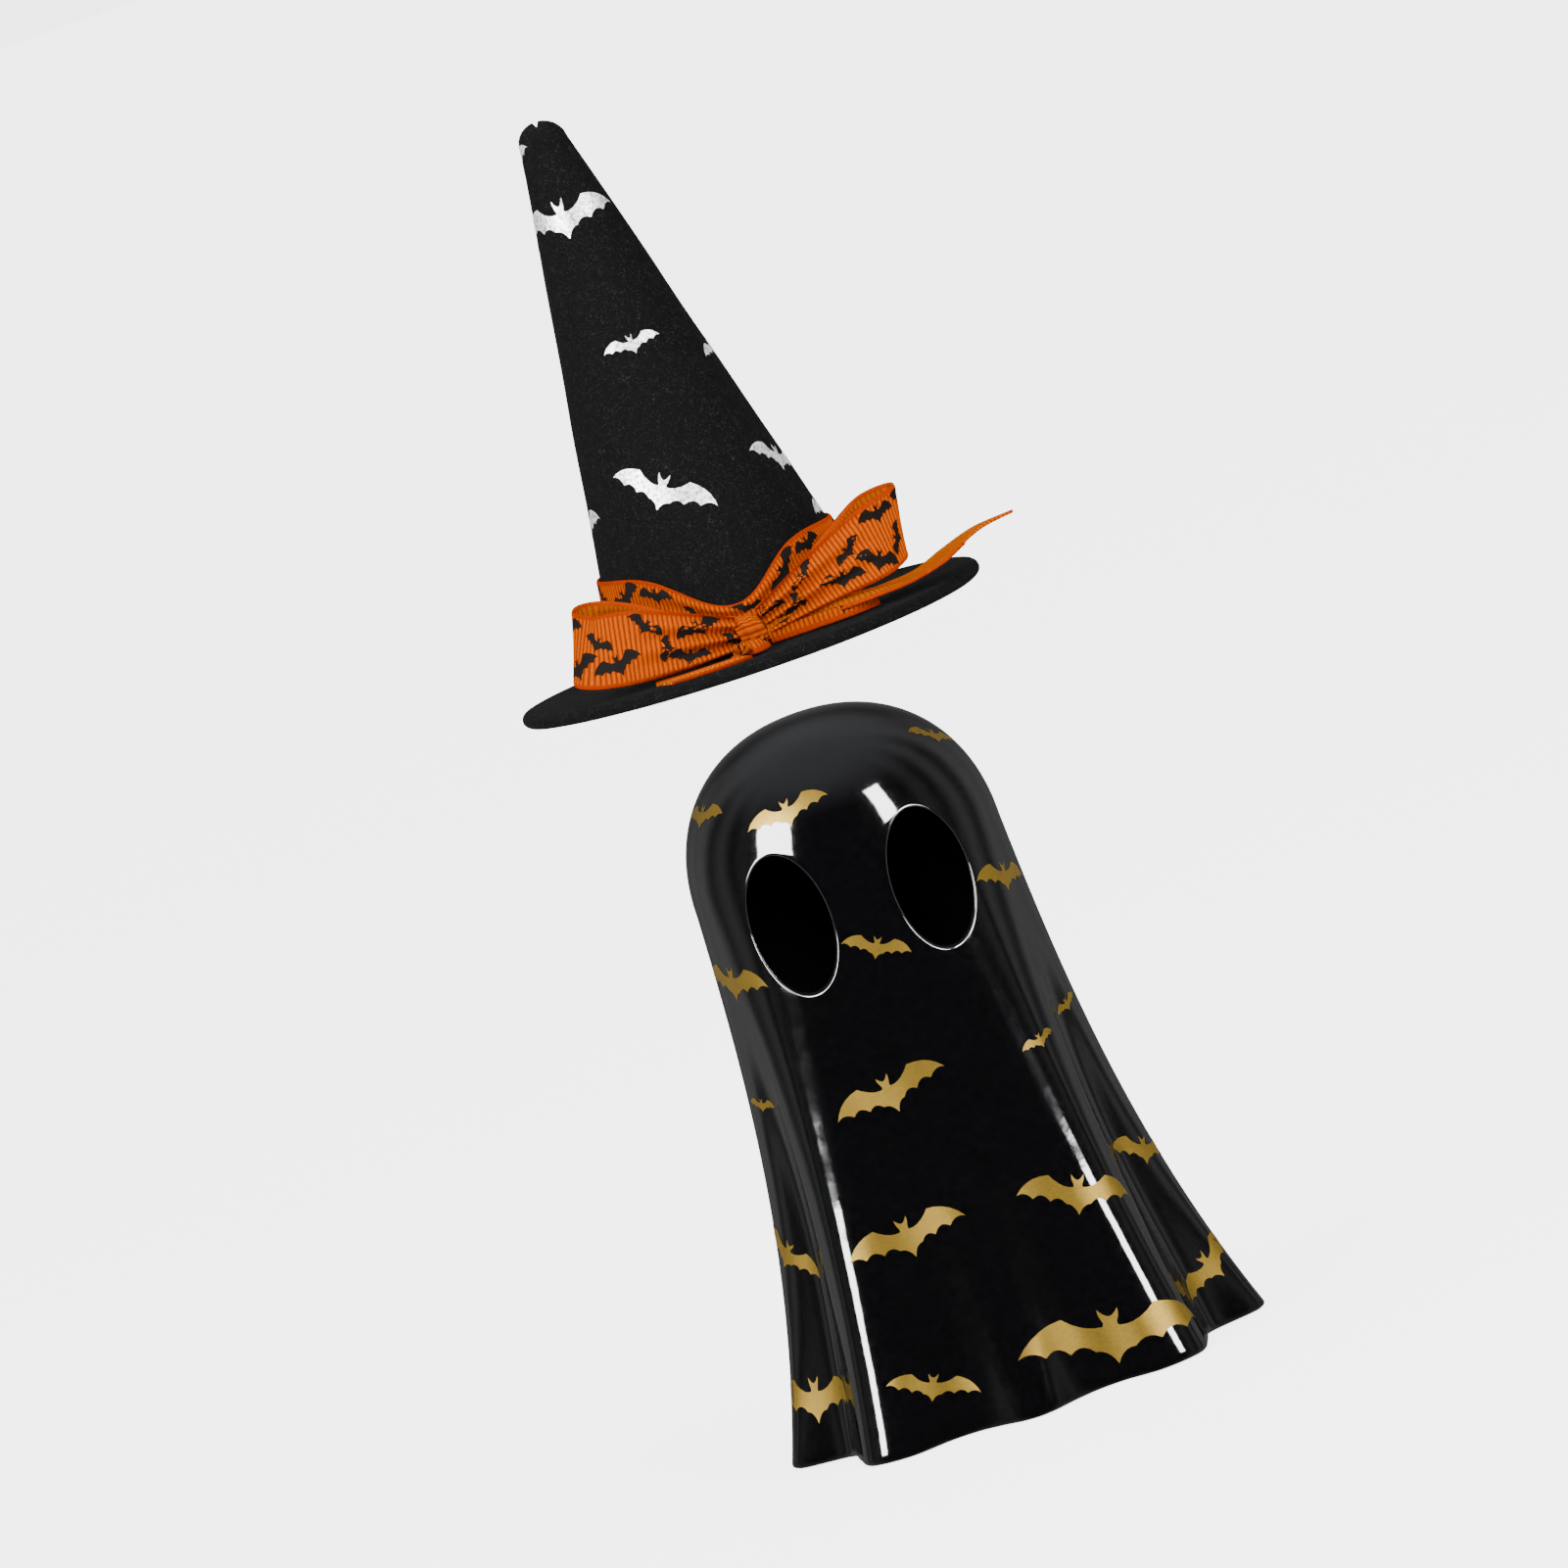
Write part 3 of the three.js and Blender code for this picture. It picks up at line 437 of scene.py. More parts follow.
def eye_opening(side, rows, heights, draw, rings):
    """Opens the wall round one eye and leads its edge to the oval."""
    centre = side * EYE_X
    low = max(i for i, h in enumerate(heights) if h < EYE_Z - EYE_HALF_HEIGHT - 2.4 * MM)
    high = min(i for i, h in enumerate(heights) if h > EYE_Z + EYE_HALF_HEIGHT + 1.8 * MM)
    middle = (low + high) // 2
    belt = shell_row(heights[middle], draw)
    front = sorted((i for i in range(columns) if belt[i].y < 0), key=lambda i: belt[i].x)
    near = centre - EYE_HALF_WIDTH - 2 * MM
    far = centre + EYE_HALF_WIDTH + 1.4 * MM
    inside = [i for i in front if near < shell_point(i, EYE_Z, draw).x < far]
    left, right = inside[0], inside[-1]
    step = 1 if right > left else -1
    span = list(range(left, right + step, step))
    gone = set()
    for r in range(low, high):
        for a, b in zip(span, span[1:]):
            corner = {rows[r][a], rows[r][b], rows[r + 1][a], rows[r + 1][b]}
            for face in rows[r][a].link_faces:
                if set(face.verts) == corner:
                    gone.add(face)
    border = [(c, low) for c in span[:-1]] + [(span[-1], r) for r in range(low, high)]
    border += [(c, high) for c in span[:0:-1]] + [(span[0], r) for r in range(high, low, -1)]
    loop = [rows[r][c] for c, r in border]
    bmesh.ops.delete(shell, geom=list(gone), context="FACES")

    def place(x, z):
        a, b = float(span[0]), float(span[-1])
        for _ in range(30):
            c = (a + b) / 2
            if shell_point(c, z, draw).x < x:
                a = c
            else:
                b = c
        return (a + b) / 2, z

    spots = []
    for c, r in border:
        corner = shell_point(c, heights[r], draw)
        angle = math.atan2((corner.z - EYE_Z) / EYE_HALF_HEIGHT, (corner.x - centre) / EYE_HALF_WIDTH)
        spots.append((c, heights[r], angle))
    for ring in range(1, rings + 1):
        t = ring / rings
        places = []
        for c, h, angle in spots:
            x = centre + (EYE_HALF_WIDTH + EYE_ROUND) * math.cos(angle)
            z = EYE_Z + (EYE_HALF_HEIGHT + EYE_ROUND) * math.sin(angle)
            goal = place(x, z)
            places.append(shell_point(mix(c, goal[0], t), mix(h, goal[1], t), draw))
        loop = grow(shell, loop, places)
    into = 1 if draw == 0 else -1
    edge_places = []
    for c, h, angle in spots:
        x = centre + EYE_HALF_WIDTH * math.cos(angle)
        z = EYE_Z + EYE_HALF_HEIGHT * math.sin(angle)
        column, height = place(x, z)
        edge_places.append(shell_point(column, height, draw))
    begin = [v.co.copy() for v in loop]
    for t in (0.12, 0.25, 0.38, 0.5, 0.62, 0.75, 0.88, 1):
        places = []
        for a, b in zip(begin, edge_places):
            inner = b + Vector((0, into * EYE_ROUND, 0))
            places.append(a * (1 - t) ** 2 + b * (2 * t * (1 - t)) + inner * t ** 2)
        loop = grow(shell, loop, places)
        # The middle row of the rounded rim is marked for the painted highlight.
        for v in loop:
            v[rim_highlight_row] = 1 if t == 0.5 else 0
            v[bare_inside] = 1 if draw or t == 1 else 0
    return loop


for side in (-1, 1):
    outer_edge = eye_opening(side, outer_rows, outer_heights, 0, 5)
    inner_edge = eye_opening(side, inner_rows, inner_heights, SHELL_WALL, 3)
    bridged(shell, outer_edge, inner_edge)
bmesh.ops.recalc_face_normals(shell, faces=shell.faces)
shell_tree = BVHTree.FromBMesh(shell)

ripple, given, taken = new_group("surface_ripple", [
    ("INPUT", "Scale", "NodeSocketFloat", 60.0),
    ("INPUT", "Fine scale", "NodeSocketFloat", 900.0),
    ("INPUT", "Fine share", "NodeSocketFloat", 0.15),
    ("OUTPUT", "Height", "NodeSocketFloat", None),
    ("OUTPUT", "Speckle", "NodeSocketFloat", None),
])
coords = add(ripple, "TexCoord")
broad = add(ripple, "TexNoise", Detail=2)
fine = add(ripple, "TexNoise", Detail=3)
share = calculate(ripple, "MULTIPLY_ADD")
wire(
    ripple, (coords, "Object", broad, "Vector"), (coords, "Object", fine, "Vector"),
    (given, "Scale", broad, "Scale"), (given, "Fine scale", fine, "Scale"), (fine, "Fac", share, 0),
    (given, "Fine share", share, 1), (broad, "Fac", share, 2), (share, 0, taken, "Height"),
    (fine, "Fac", taken, "Speckle"),
)


def use_group(tree, group, **values):
    return add(tree, "Group", {"node_tree": group}, **values)


def bumped(tree, height, shader, strength, distance):
    node = add(tree, "Bump", Strength=strength, Distance=distance)
    tree.links.new(height, node.inputs["Height"])
    wire(tree, (node, "Normal", shader, "Normal"))


glaze, tree, shader = nodes_of("black_gloss_glaze")
skin = use_group(tree, ripple, Scale=55.0, Fine_scale=700.0, Fine_share=0.04)
tone = ramp(tree, [(0.3, (0.0016, 0.0016, 0.002)), (0.7, (0.003, 0.003, 0.0036))])
wire(tree, (skin, "Speckle", tone, "Fac"))
# Painted highlight: a thin grey line on the middle of each eye's rounded rim stands in for the light the rim
# mirrors.
rim = add(tree, "Attribute", {"attribute_name": "edge"})
rim_highlight_mix = add(tree, "Mix", {"data_type": "RGBA"}, B=(0.06, 0.06, 0.063, 1))
wire(
    tree, (rim, "Fac", rim_highlight_mix, "Factor"), (tone, "Color", rim_highlight_mix, "A"),
    (rim_highlight_mix, "Result", shader, "Base Color"),
)
slick = add(tree, "MapRange", To_Min=0.035, To_Max=0.085)
wire(tree, (skin, "Speckle", slick, "Value"))
bare = add(tree, "Attribute", {"attribute_name": "inside"})
dull = add(tree, "Mix", B=0.9)
wire(
    tree, (bare, "Fac", dull, "Factor"), (slick, "Result", dull, "A"),
    (dull, "Result", shader, "Roughness"),
)
fading = add(tree, "MapRange", To_Min=0.5, To_Max=0.03)
wire(tree, (bare, "Fac", fading, "Value"), (fading, "Result", shader, "Specular IOR Level"))
put(shader, IOR=1.5)
bumped(tree, skin.outputs["Height"], shader, 0.12, 0.0012)

ghost = finished("ghost_glazed_shell", shell, [glaze])
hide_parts("ghost_shell")
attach(ghost, "ghost")


# Gold bats.
# Fired lustre transfers, a plain bat shape in several sizes, laid on the
# glaze all round with a slight tilt each.
def bat_outline(span, ear=1.0):
    """A bat with spread wings: corner, bend and corner of each edge of one half."""
    half = [
        ((0, 0.13), (0.022, 0.13), (0.052, 0.175 * ear)),
        ((0.052, 0.175 * ear), (0.054, 0.14), (0.04, 0.108)),
        ((0.04, 0.108), (0.03, 0.09), (0.04, 0.072)),
        ((0.04, 0.072), (0.13, 0.062), (0.235, 0.165)),
        ((0.235, 0.165), (0.42, 0.15), (0.5, 0)),
        ((0.5, 0), (0.43, 0.045), (0.36, -0.025)),
        ((0.36, -0.025), (0.29, 0.045), (0.22, -0.045)),
        ((0.22, -0.045), (0.155, 0.015), (0.095, -0.062)),
        ((0.095, -0.062), (0.035, -0.06), (0, -0.15)),
    ]
    points = []
    for a, b, c in half:
        for step in range(5):
            t = step / 5
            near, bend, far = (1 - t) ** 2, 2 * t * (1 - t), t * t
            points.append(tuple(span * (a[k] * near + b[k] * bend + c[k] * far) for k in (0, 1)))
    points.append((0.0, -0.15 * span))
    mirrored = [(-x, y) for x, y in reversed(points[1:-1])]
    return points + mirrored


def flat_bat(span, cell, border=0.0, tall=1.0, ear=1.0):
    """A flat bat cut into cells small enough to bend over a curved surface."""
    bm = bmesh.new()
    verts = [bm.verts.new((x, y * tall, 0)) for x, y in bat_outline(span, ear)]
    face = bm.faces.new(verts)
    if border:
        rim = bmesh.ops.inset_region(bm, faces=[face], thickness=border, use_even_offset=True)
        for made in rim["faces"]:
            made.material_index = 1
    for axis in (0, 1):
        reach = span * (0.5 if axis == 0 else 0.2)
        steps = int(2 * reach / cell)
        for i in range(1, steps):
            spot = [0, 0, 0]
            way = [0, 0, 0]
            spot[axis] = -reach + 2 * reach * i / steps
            way[axis] = 1
            geometry = bm.verts[:] + bm.edges[:] + bm.faces[:]
            bmesh.ops.bisect_plane(bm, geom=geometry, plane_co=spot, plane_no=way, dist=1e-7)
    bmesh.ops.triangulate(bm, faces=bm.faces)
    return bm


BAT_CELL = 1.1 * MM
GOLD_BORDER = 0.35 * MM
GOLD_LIFT = 0.07 * MM
RAY_START = 0.15
BELT_JUMP = 4 * MM


def wrapped_bat(bat, tree_under, axis_at, turn, height, tilt, lift):
    """Wraps a flat bat round an upright form, true to length along its girth."""
    def cast(angle, level):
        out = Vector((math.sin(math.radians(angle)), -math.cos(math.radians(angle)), 0))
        return tree_under.ray_cast(axis_at(level) + out * RAY_START, -out)

    belt = [(turn, 0.0)]
    middle, facing, _, _ = cast(turn, height)
    steep = math.hypot(facing.x, facing.y)
    for way in (1, -1):
        last, girth = middle, 0.0
        for step in range(1, 90):
            hit = cast(turn + way * step, height)[0]
            if (hit - last).length > BELT_JUMP:
                break
            girth += (hit - last).length
            last = hit
            belt.append((turn + way * step, way * girth))
    belt.sort(key=lambda item: item[1])
    lean = math.radians(tilt)
    beyond = []
    for v in bat.verts:
        u = v.co.x * math.cos(lean) - v.co.y * math.sin(lean)
        rise = v.co.x * math.sin(lean) + v.co.y * math.cos(lean)
        i = max(k for k in range(len(belt) - 1) if belt[k][1] <= u or k == 0)
        share = (u - belt[i][1]) / max(belt[i + 1][1] - belt[i][1], 1e-9)
        angle = mix(belt[i][0], belt[i + 1][0], min(max(share, 0), 1))
        hit, facing, _, distance = cast(angle, height + rise * steep)
        v.co = hit + facing * lift
        if distance > RAY_START or not belt[0][1] <= u <= belt[-1][1]:
            beyond.append(v)
    bmesh.ops.delete(bat, geom=beyond, context="VERTS")
    return bat


def joined(target, source):
    """Adds one bmesh to another."""
    data = bpy.data.meshes.new("part")
    source.to_mesh(data)
    source.free()
    target.from_mesh(data)
    bpy.data.meshes.remove(data)


# Turn in degrees from the face, height and span in millimetres, tilt, tallness.
gold_bats = [
    (-18.5, 142.3, 20, 8, 1), (-70, 146, 17, 0, 1), (71, 146, 15, -30, 1),
    (-0.5, 108.6, 15.6, -26, 1), (-68, 109, 25, -8, 1), (65, 112, 21, -12, 1),
    (-14, 77, 27, 10, 1), (48, 76.5, 10.5, 8, 1), (76, 80, 10, 14, 1), (-76, 81, 10, -10, 1),
    (-26, 45.5, 28.6, 6, 1), (39, 42, 28, -20, 1), (-83, 47, 21, -38, 1), (82, 43, 21, -20, 1),
    (-83, 14, 26, -4, 1.25), (-33.5, 12.5, 22, -21, 0.85), (34, 10, 47, -8, 0.82), (84, 13.5, 24, 28, 1),
    (180, 136, 19, 0, 1), (150, 118, 17, 12, 1), (-148, 112, 18, -14, 1), (176, 92, 26, -6, 1),
    (140, 78, 13, 8, 1), (-132, 66, 14, -8, 1), (-164, 52, 28, 5, 1), (158, 40, 24, 18, 1),
    (120, 30, 18, -10, 1), (-118, 34, 17, 12, 1), (-150, 12, 34, -4, 1), (166, 14, 26, -12, 1),
]


def ghost_axis(level):
    return Vector((0, 0, level))


gold_mesh = bmesh.new()
for turn, height, span, tilt, tall in gold_bats:
    flat = flat_bat(span * MM, BAT_CELL, border=GOLD_BORDER, tall=tall)
    joined(gold_mesh, wrapped_bat(flat, shell_tree, ghost_axis, turn, height * MM, tilt, GOLD_LIFT))


def speckled(name, scales, stops, bump=None, **values):
    """A material of speckled tone: ripple scales, tones, bump and shader values."""
    made, tree, shader = nodes_of(name)
    scale, fine_scale, fine_share = scales
    grain = use_group(tree, ripple, Scale=scale, Fine_scale=fine_scale, Fine_share=fine_share)
    tone = ramp(tree, stops)
    wire(tree, (grain, "Speckle", tone, "Fac"), (tone, "Color", shader, "Base Color"))
    put(shader, **values)
    if bump:
        bumped(tree, grain.outputs["Height"], shader, *bump)
    return made


def lustre(name, low, high, rough):
    between = tuple((a + b) / 2 for a, b in zip(low, high))
    return speckled(
        name, (260.0, 6500.0, 0.5), [(0.34, low), (0.5, between), (0.66, high)], (0.2, 0.00005),
        Metallic=0.45, Specular_IOR_Level=0.2, Roughness=rough,
    )


gold = lustre("gold_lustre", (0.1, 0.058, 0.003), (0.24, 0.15, 0.012), 0.42)
gold_edge = lustre("gold_lustre_edge", (0.5, 0.39, 0.16), (0.75, 0.62, 0.34), 0.34)
decals = finished("gold_bat_transfers", gold_mesh, [gold, gold_edge])
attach(decals, "ghost")


# Hat brim.
# A ring punched from thick wool felt, its edge rounded by wear, with the
# faint waves of cut felt.
HAT_MIDDLE = Vector((-4.2 * MM, 0, 176.3 * MM))
BRIM_RADIUS = 53.25 * MM
BRIM_THICK = 3 * MM
BRIM_HOLE = 27 * MM
BRIM_ROUND = 1.35 * MM

fibres, given, taken = new_group("felt_fibres", [
    ("INPUT", "Scale", "NodeSocketFloat", 900.0),
    ("INPUT", "Dark", "NodeSocketColor", (0.003, 0.003, 0.0032, 1)),
    ("INPUT", "Light", "NodeSocketColor", (0.034, 0.034, 0.036, 1)),
    ("OUTPUT", "Color", "NodeSocketColor", None),
    ("OUTPUT", "Height", "NodeSocketFloat", None),
])
coords = add(fibres, "TexCoord")
hairs = add(fibres, "TexNoise", Detail=5, Roughness=0.7, Distortion=1.6)
clumps = add(fibres, "TexNoise", Scale=420, Detail=3)
both = calculate(fibres, "MULTIPLY_ADD", 0.12)
lift = add(fibres, "MapRange", From_Min=0.6, From_Max=0.84)
blend_colour = add(fibres, "Mix", {"data_type": "RGBA"})
wire(
    fibres, (coords, "Object", hairs, "Vector"), (coords, "Object", clumps, "Vector"),
    (given, "Scale", hairs, "Scale"), (clumps, "Fac", both, 0), (hairs, "Fac", both, 2),
    (both, 0, lift, "Value"), (lift, "Result", blend_colour, "Factor"), (given, "Dark", blend_colour, "A"),
    (given, "Light", blend_colour, "B"), (blend_colour, "Result", taken, "Color"),
    (both, 0, taken, "Height"),
)

felt, tree, shader = nodes_of("black_wool_felt")
nap = use_group(tree, fibres, Scale=1500.0)
wire(tree, (nap, "Color", shader, "Base Color"))
put(shader, Roughness=1.0, Specular_IOR_Level=0.04)
bumped(tree, nap.outputs["Height"], shader, 0.5, 0.0004)

brim = bmesh.new()
brim_near = BRIM_HOLE + 0.5 * MM
brim_far = BRIM_RADIUS - BRIM_ROUND
brim_profile = [(BRIM_HOLE, 0.5 * MM), (brim_near, 0)]
brim_profile += [(mix(brim_near, brim_far, t / 8), 0) for t in range(1, 9)]
for step in range(1, 12):
    bend = math.radians(-90 + step * 15)
    brim_profile.append((
        brim_far + BRIM_ROUND * math.cos(bend),
        BRIM_THICK / 2 + (BRIM_THICK / 2) * math.sin(bend),
    ))
brim_profile += [(mix(brim_far, brim_near, t / 8), BRIM_THICK) for t in range(9)]
brim_profile += [(BRIM_HOLE, BRIM_THICK - 0.5 * MM)]
BRIM_SEGMENTS = 160


def brim_ring(radius, height):
    ring = []
    for i in range(BRIM_SEGMENTS):
        turn = 2 * math.pi * i / BRIM_SEGMENTS
        share = max(0, (radius - BRIM_HOLE) / (BRIM_RADIUS - BRIM_HOLE))
        wave = 0.35 * MM * math.sin(2 * turn + 0.6) * share ** 2
        rough = 0.12 * MM * noise.noise(Vector((math.cos(turn), math.sin(turn), radius * 40)) * 6)
        reach = radius + rough
        ring.append(HAT_MIDDLE + Vector((reach * math.cos(turn), reach * math.sin(turn), height + wave)))
    return ring


hole_ring = first_row(brim, brim_ring(*brim_profile[0]))
ring = hole_ring
for radius, height in brim_profile[1:]:
    ring = grow(brim, ring, brim_ring(radius, height))
bridged(brim, ring, hole_ring)
bmesh.ops.recalc_face_normals(brim, faces=brim.faces)
brim_piece = finished("felt_brim", brim, [felt])
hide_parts("hat_brim")
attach(brim_piece, "hat")
brim_piece.visible_glossy = False


# Hat cone.
# One sector of thinner felt rolled up and sewn down the back; the seam
# pinches the tip into two low bumps, and the cone leans to one side.
CONE_FOOT = BRIM_THICK + 0.3 * MM
FOOT_EDGE = -0.26 * MM
CONE_BASE = 30.2 * MM
CONE_HEIGHT = 122.4 * MM
CONE_TIP = 5.5 * MM
CONE_TIP_ROUND = 5 * MM
CONE_LEAN = 0.0585
CONE_FELT = 1.6 * MM
TIP_PINCH = 1.3 * MM
CONE_SEGMENTS = 144


def cone_radius(height):
    return mix(CONE_BASE, CONE_TIP, height / (CONE_HEIGHT - CONE_TIP_ROUND))


def cone_ring(height, radius, dip=0.0, soft=1.0):
    ring = []
    for i in range(CONE_SEGMENTS):
        turn = 2 * math.pi * i / CONE_SEGMENTS
        way = Vector((math.cos(turn), math.sin(turn), 0))
        dent = 0.25 * MM * noise.noise(way * 1.3 + Vector((0, 0, height * 45))) * soft
        seam = -0.5 * MM * math.exp(-(((turn - math.pi / 2) * radius / (1.2 * MM)) ** 2)) * soft
        spot = way * (radius + dent + seam)
        fold = dip * math.sin(turn) ** 4
        ring.append(HAT_MIDDLE + Vector((spot.x - CONE_LEAN * height, spot.y, CONE_FOOT + height - fold)))
    return ring


cone = bmesh.new()
cone_top = CONE_HEIGHT - CONE_TIP_ROUND
foot_ring = first_row(cone, cone_ring(FOOT_EDGE, cone_radius(0)))
ring = foot_ring
for i in range(1, 91):
    height = cone_top * i / 90
    ring = grow(cone, ring, cone_ring(height, cone_radius(height)))
for bend in (12, 24, 36, 48, 60, 72, 82):
    turn = math.radians(bend)
    height = cone_top + CONE_TIP_ROUND * math.sin(turn)
    dip = TIP_PINCH * (bend / 82) ** 2
    ring = grow(cone, ring, cone_ring(height, CONE_TIP * math.cos(turn), dip, soft=1 - bend / 90))
capped(cone, ring, HAT_MIDDLE.z + CONE_FOOT + CONE_HEIGHT - TIP_PINCH)
ring = grow(cone, foot_ring, cone_ring(FOOT_EDGE, CONE_BASE - CONE_FELT))
for i in range(1, 31):
    height = cone_top * 0.95 * i / 30
    ring = grow(cone, ring, cone_ring(height, cone_radius(height) - CONE_FELT))
capped(cone, ring)
bmesh.ops.recalc_face_normals(cone, faces=cone.faces)
cone_tree = BVHTree.FromBMesh(cone)
cone_piece = finished("felt_cone", cone, [felt])
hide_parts("hat_cone")
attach(cone_piece, "hat")
cone_piece.visible_glossy = False


# Foil bats.
# Silver-white foil pressed on to the felt before it was sewn, finely
# crinkled and broken by the nap.
FOIL_LIFT = 0.06 * MM

# Turn in degrees from the front, height and span in millimetres, tilt.
foil_bats = [
    (-16, 100, 27, 2), (4, 70, 13.4, 2), (-15, 37.6, 24.6, -32), (69, 35.5, 20, -26), (84, 63, 14, 10),
    (-106, 114, 16, 30), (-88, 34, 20, 12), (90, 22, 18, 5),
    (170, 92, 18, 4), (150, 60, 20, -12), (-150, 66, 19, 14), (-128, 96, 15, -8), (180, 34, 22, 6),
    (124, 36, 19, 12), (-122, 44, 20, -10), (128, 84, 15, 10),
]


def cone_axis(level):
    return Vector((HAT_MIDDLE.x - CONE_LEAN * (level - HAT_MIDDLE.z - CONE_FOOT), 0, level))


foil_mesh = bmesh.new()
for turn, height, span, tilt in foil_bats:
    flat = flat_bat(span * MM, BAT_CELL, ear=1.1)
    level = HAT_MIDDLE.z + CONE_FOOT + height * MM
    joined(foil_mesh, wrapped_bat(flat, cone_tree, cone_axis, turn, level, tilt, FOIL_LIFT))
foil = speckled(
    "silver_foil_print", (520.0, 1500.0, 0.8),
    [(0.36, (0.2, 0.2, 0.21)), (0.5, (0.58, 0.59, 0.6)), (0.62, (0.8, 0.81, 0.82))],
    (0.5, 0.0002), Metallic=0.35, Roughness=0.5,
)
foils = finished("foil_bats", foil_mesh, [foil])
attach(foils, "hat")
foils.visible_glossy = False


# Ribbon.
# Orange grosgrain, 16 mm wide, with cross ribs a millimetre apart and a
# twisted cord edge. Black bats are printed on its right side only.
RIBBON_WIDE = 16 * MM
RIBBON_THICK = 0.6 * MM
ACROSS = 36
# The weave and the print are laid out on the flat ribbon in millimetres.
RIB_PITCH = 1.05
FLAT_HALF = 8
PRINT_EDGE = 7.7
PRINT_REPEAT = 42


def grosgrain(name, ground, shadow, edge_colour):
    made, tree, shader = nodes_of(name)
    uv = add(tree, "UVMap", {"uv_map": "cloth"})
    split = add(tree, "SeparateXYZ")
    wire(tree, (uv, "UV", split, "Vector"))
    wobble = add(tree, "TexNoise", Scale=1.6, Detail=3)
    wire(tree, (uv, "UV", wobble, "Vector"))
    swing = calculate(tree, "MULTIPLY_ADD", 0.25)
    wire(tree, (wobble, "Fac", swing, 0), (split, "X", swing, 2))
    beat = calculate(tree, "MULTIPLY", 2 * math.pi / RIB_PITCH)
    wire(tree, (swing, 0, beat, 0))
    wave = calculate(tree, "SINE")
    wire(tree, (beat, 0, wave, 0))
    rib = add(tree, "MapRange", From_Min=-1, From_Max=1)
    wire(tree, (wave, 0, rib, "Value"))
    # Painted shade in the rib troughs and a painted highlight on the rib crests, over the ground colour.
    tone = ramp(tree, [(0.0, shadow), (0.45, ground), (1.0, tuple(min(1, c * 1.12) for c in ground))])
    wire(tree, (rib, "Result", tone, "Fac"))
    middle = calculate(tree, "SUBTRACT", FLAT_HALF)
    wire(tree, (split, "Y", middle, 0))
    away = calculate(tree, "ABSOLUTE")
    wire(tree, (middle, 0, away, 0))
    selvedge = add(tree, "MapRange", From_Min=6.9, From_Max=7.3)
    wire(tree, (away, 0, selvedge, "Value"))
    edged = add(tree, "Mix", {"data_type": "RGBA"}, B=(*edge_colour, 1))
    wire(
        tree, (selvedge, "Result", edged, "Factor"), (tone, "Color", edged, "A"),
        (edged, "Result", shader, "Base Color"),
    )
    put(shader, Roughness=0.7, Specular_IOR_Level=0.0)
    threads = add(tree, "TexNoise", Scale=9, Detail=2)
    wire(tree, (uv, "UV", threads, "Vector"))
    height = calculate(tree, "MULTIPLY_ADD", 0.25)
    wire(tree, (threads, "Fac", height, 0), (rib, "Result", height, 2))
    bumped(tree, height.outputs[0], shader, 0.8, 0.00022)
    return made


ribbon_face = grosgrain("orange_grosgrain", (0.48, 0.074, 0.0), (0.22, 0.018, 0.0), (0.34, 0.03, 0.0))
ribbon_back = grosgrain("orange_grosgrain_back", (0.48, 0.1, 0.0), (0.34, 0.055, 0.0), (0.4, 0.045, 0.0))
print_ink = speckled(
    "black_print", (500.0, 3000.0, 0.5), [(0.3, (0.002, 0.0015, 0.0012)), (0.8, (0.012, 0.005, 0.003))],
    Roughness=0.9, Specular_IOR_Level=0.06,
)


def pleat(t, width, puff):
    """How far a point stands out where the ribbon is drawn in to a width."""
    spare = max(RIBBON_WIDE ** 2 - width ** 2, 0) ** 0.5 / 12
    turn = math.pi * 3 * (t + 1)
    return spare * (math.sin(turn) if puff == 0 else puff * (1 - math.cos(turn)))


def ribbon_section(centre, across, out, width, cut=-1.0, puff=0):
    """Points round the ribbon, face then reverse. A slanted end cuts its near edge back."""
    ring = []
    for face in (1, -1):
        order = range(ACROSS + 1) if face > 0 else range(ACROSS, -1, -1)
        for i in order:
            t = mix(cut, 1, i / ACROSS)
            thick = RIBBON_THICK * (0.32 if i in (0, ACROSS) else 0.62 if abs(t) > 0.86 else 0.5)
            ring.append(centre + across * (t * width / 2) + out * (face * thick + pleat(t, width, puff)))
    return ring


def printed_bats(length, first):
    """The print's repeat along a length: place, place across, span, tilt."""
    repeat = [
        (0, -3.6, 11, 18), (6.5, 4.2, 8.5, -35), (11, -1.2, 7, 80), (15.5, -4.6, 10, -12),
        (18.5, 3.4, 12, 30), (25, -2.4, 8, -60), (28, 4.6, 9.5, 6), (33, -4.2, 11.5, 35), (37.5, 1.6, 8, -28),
    ]
    made = []
    start = first - PRINT_REPEAT
    while start < length:
        made += [(start + at, side, span, tilt) for at, side, span, tilt in repeat if 0 < start + at < length]
        start += PRINT_REPEAT
    return made


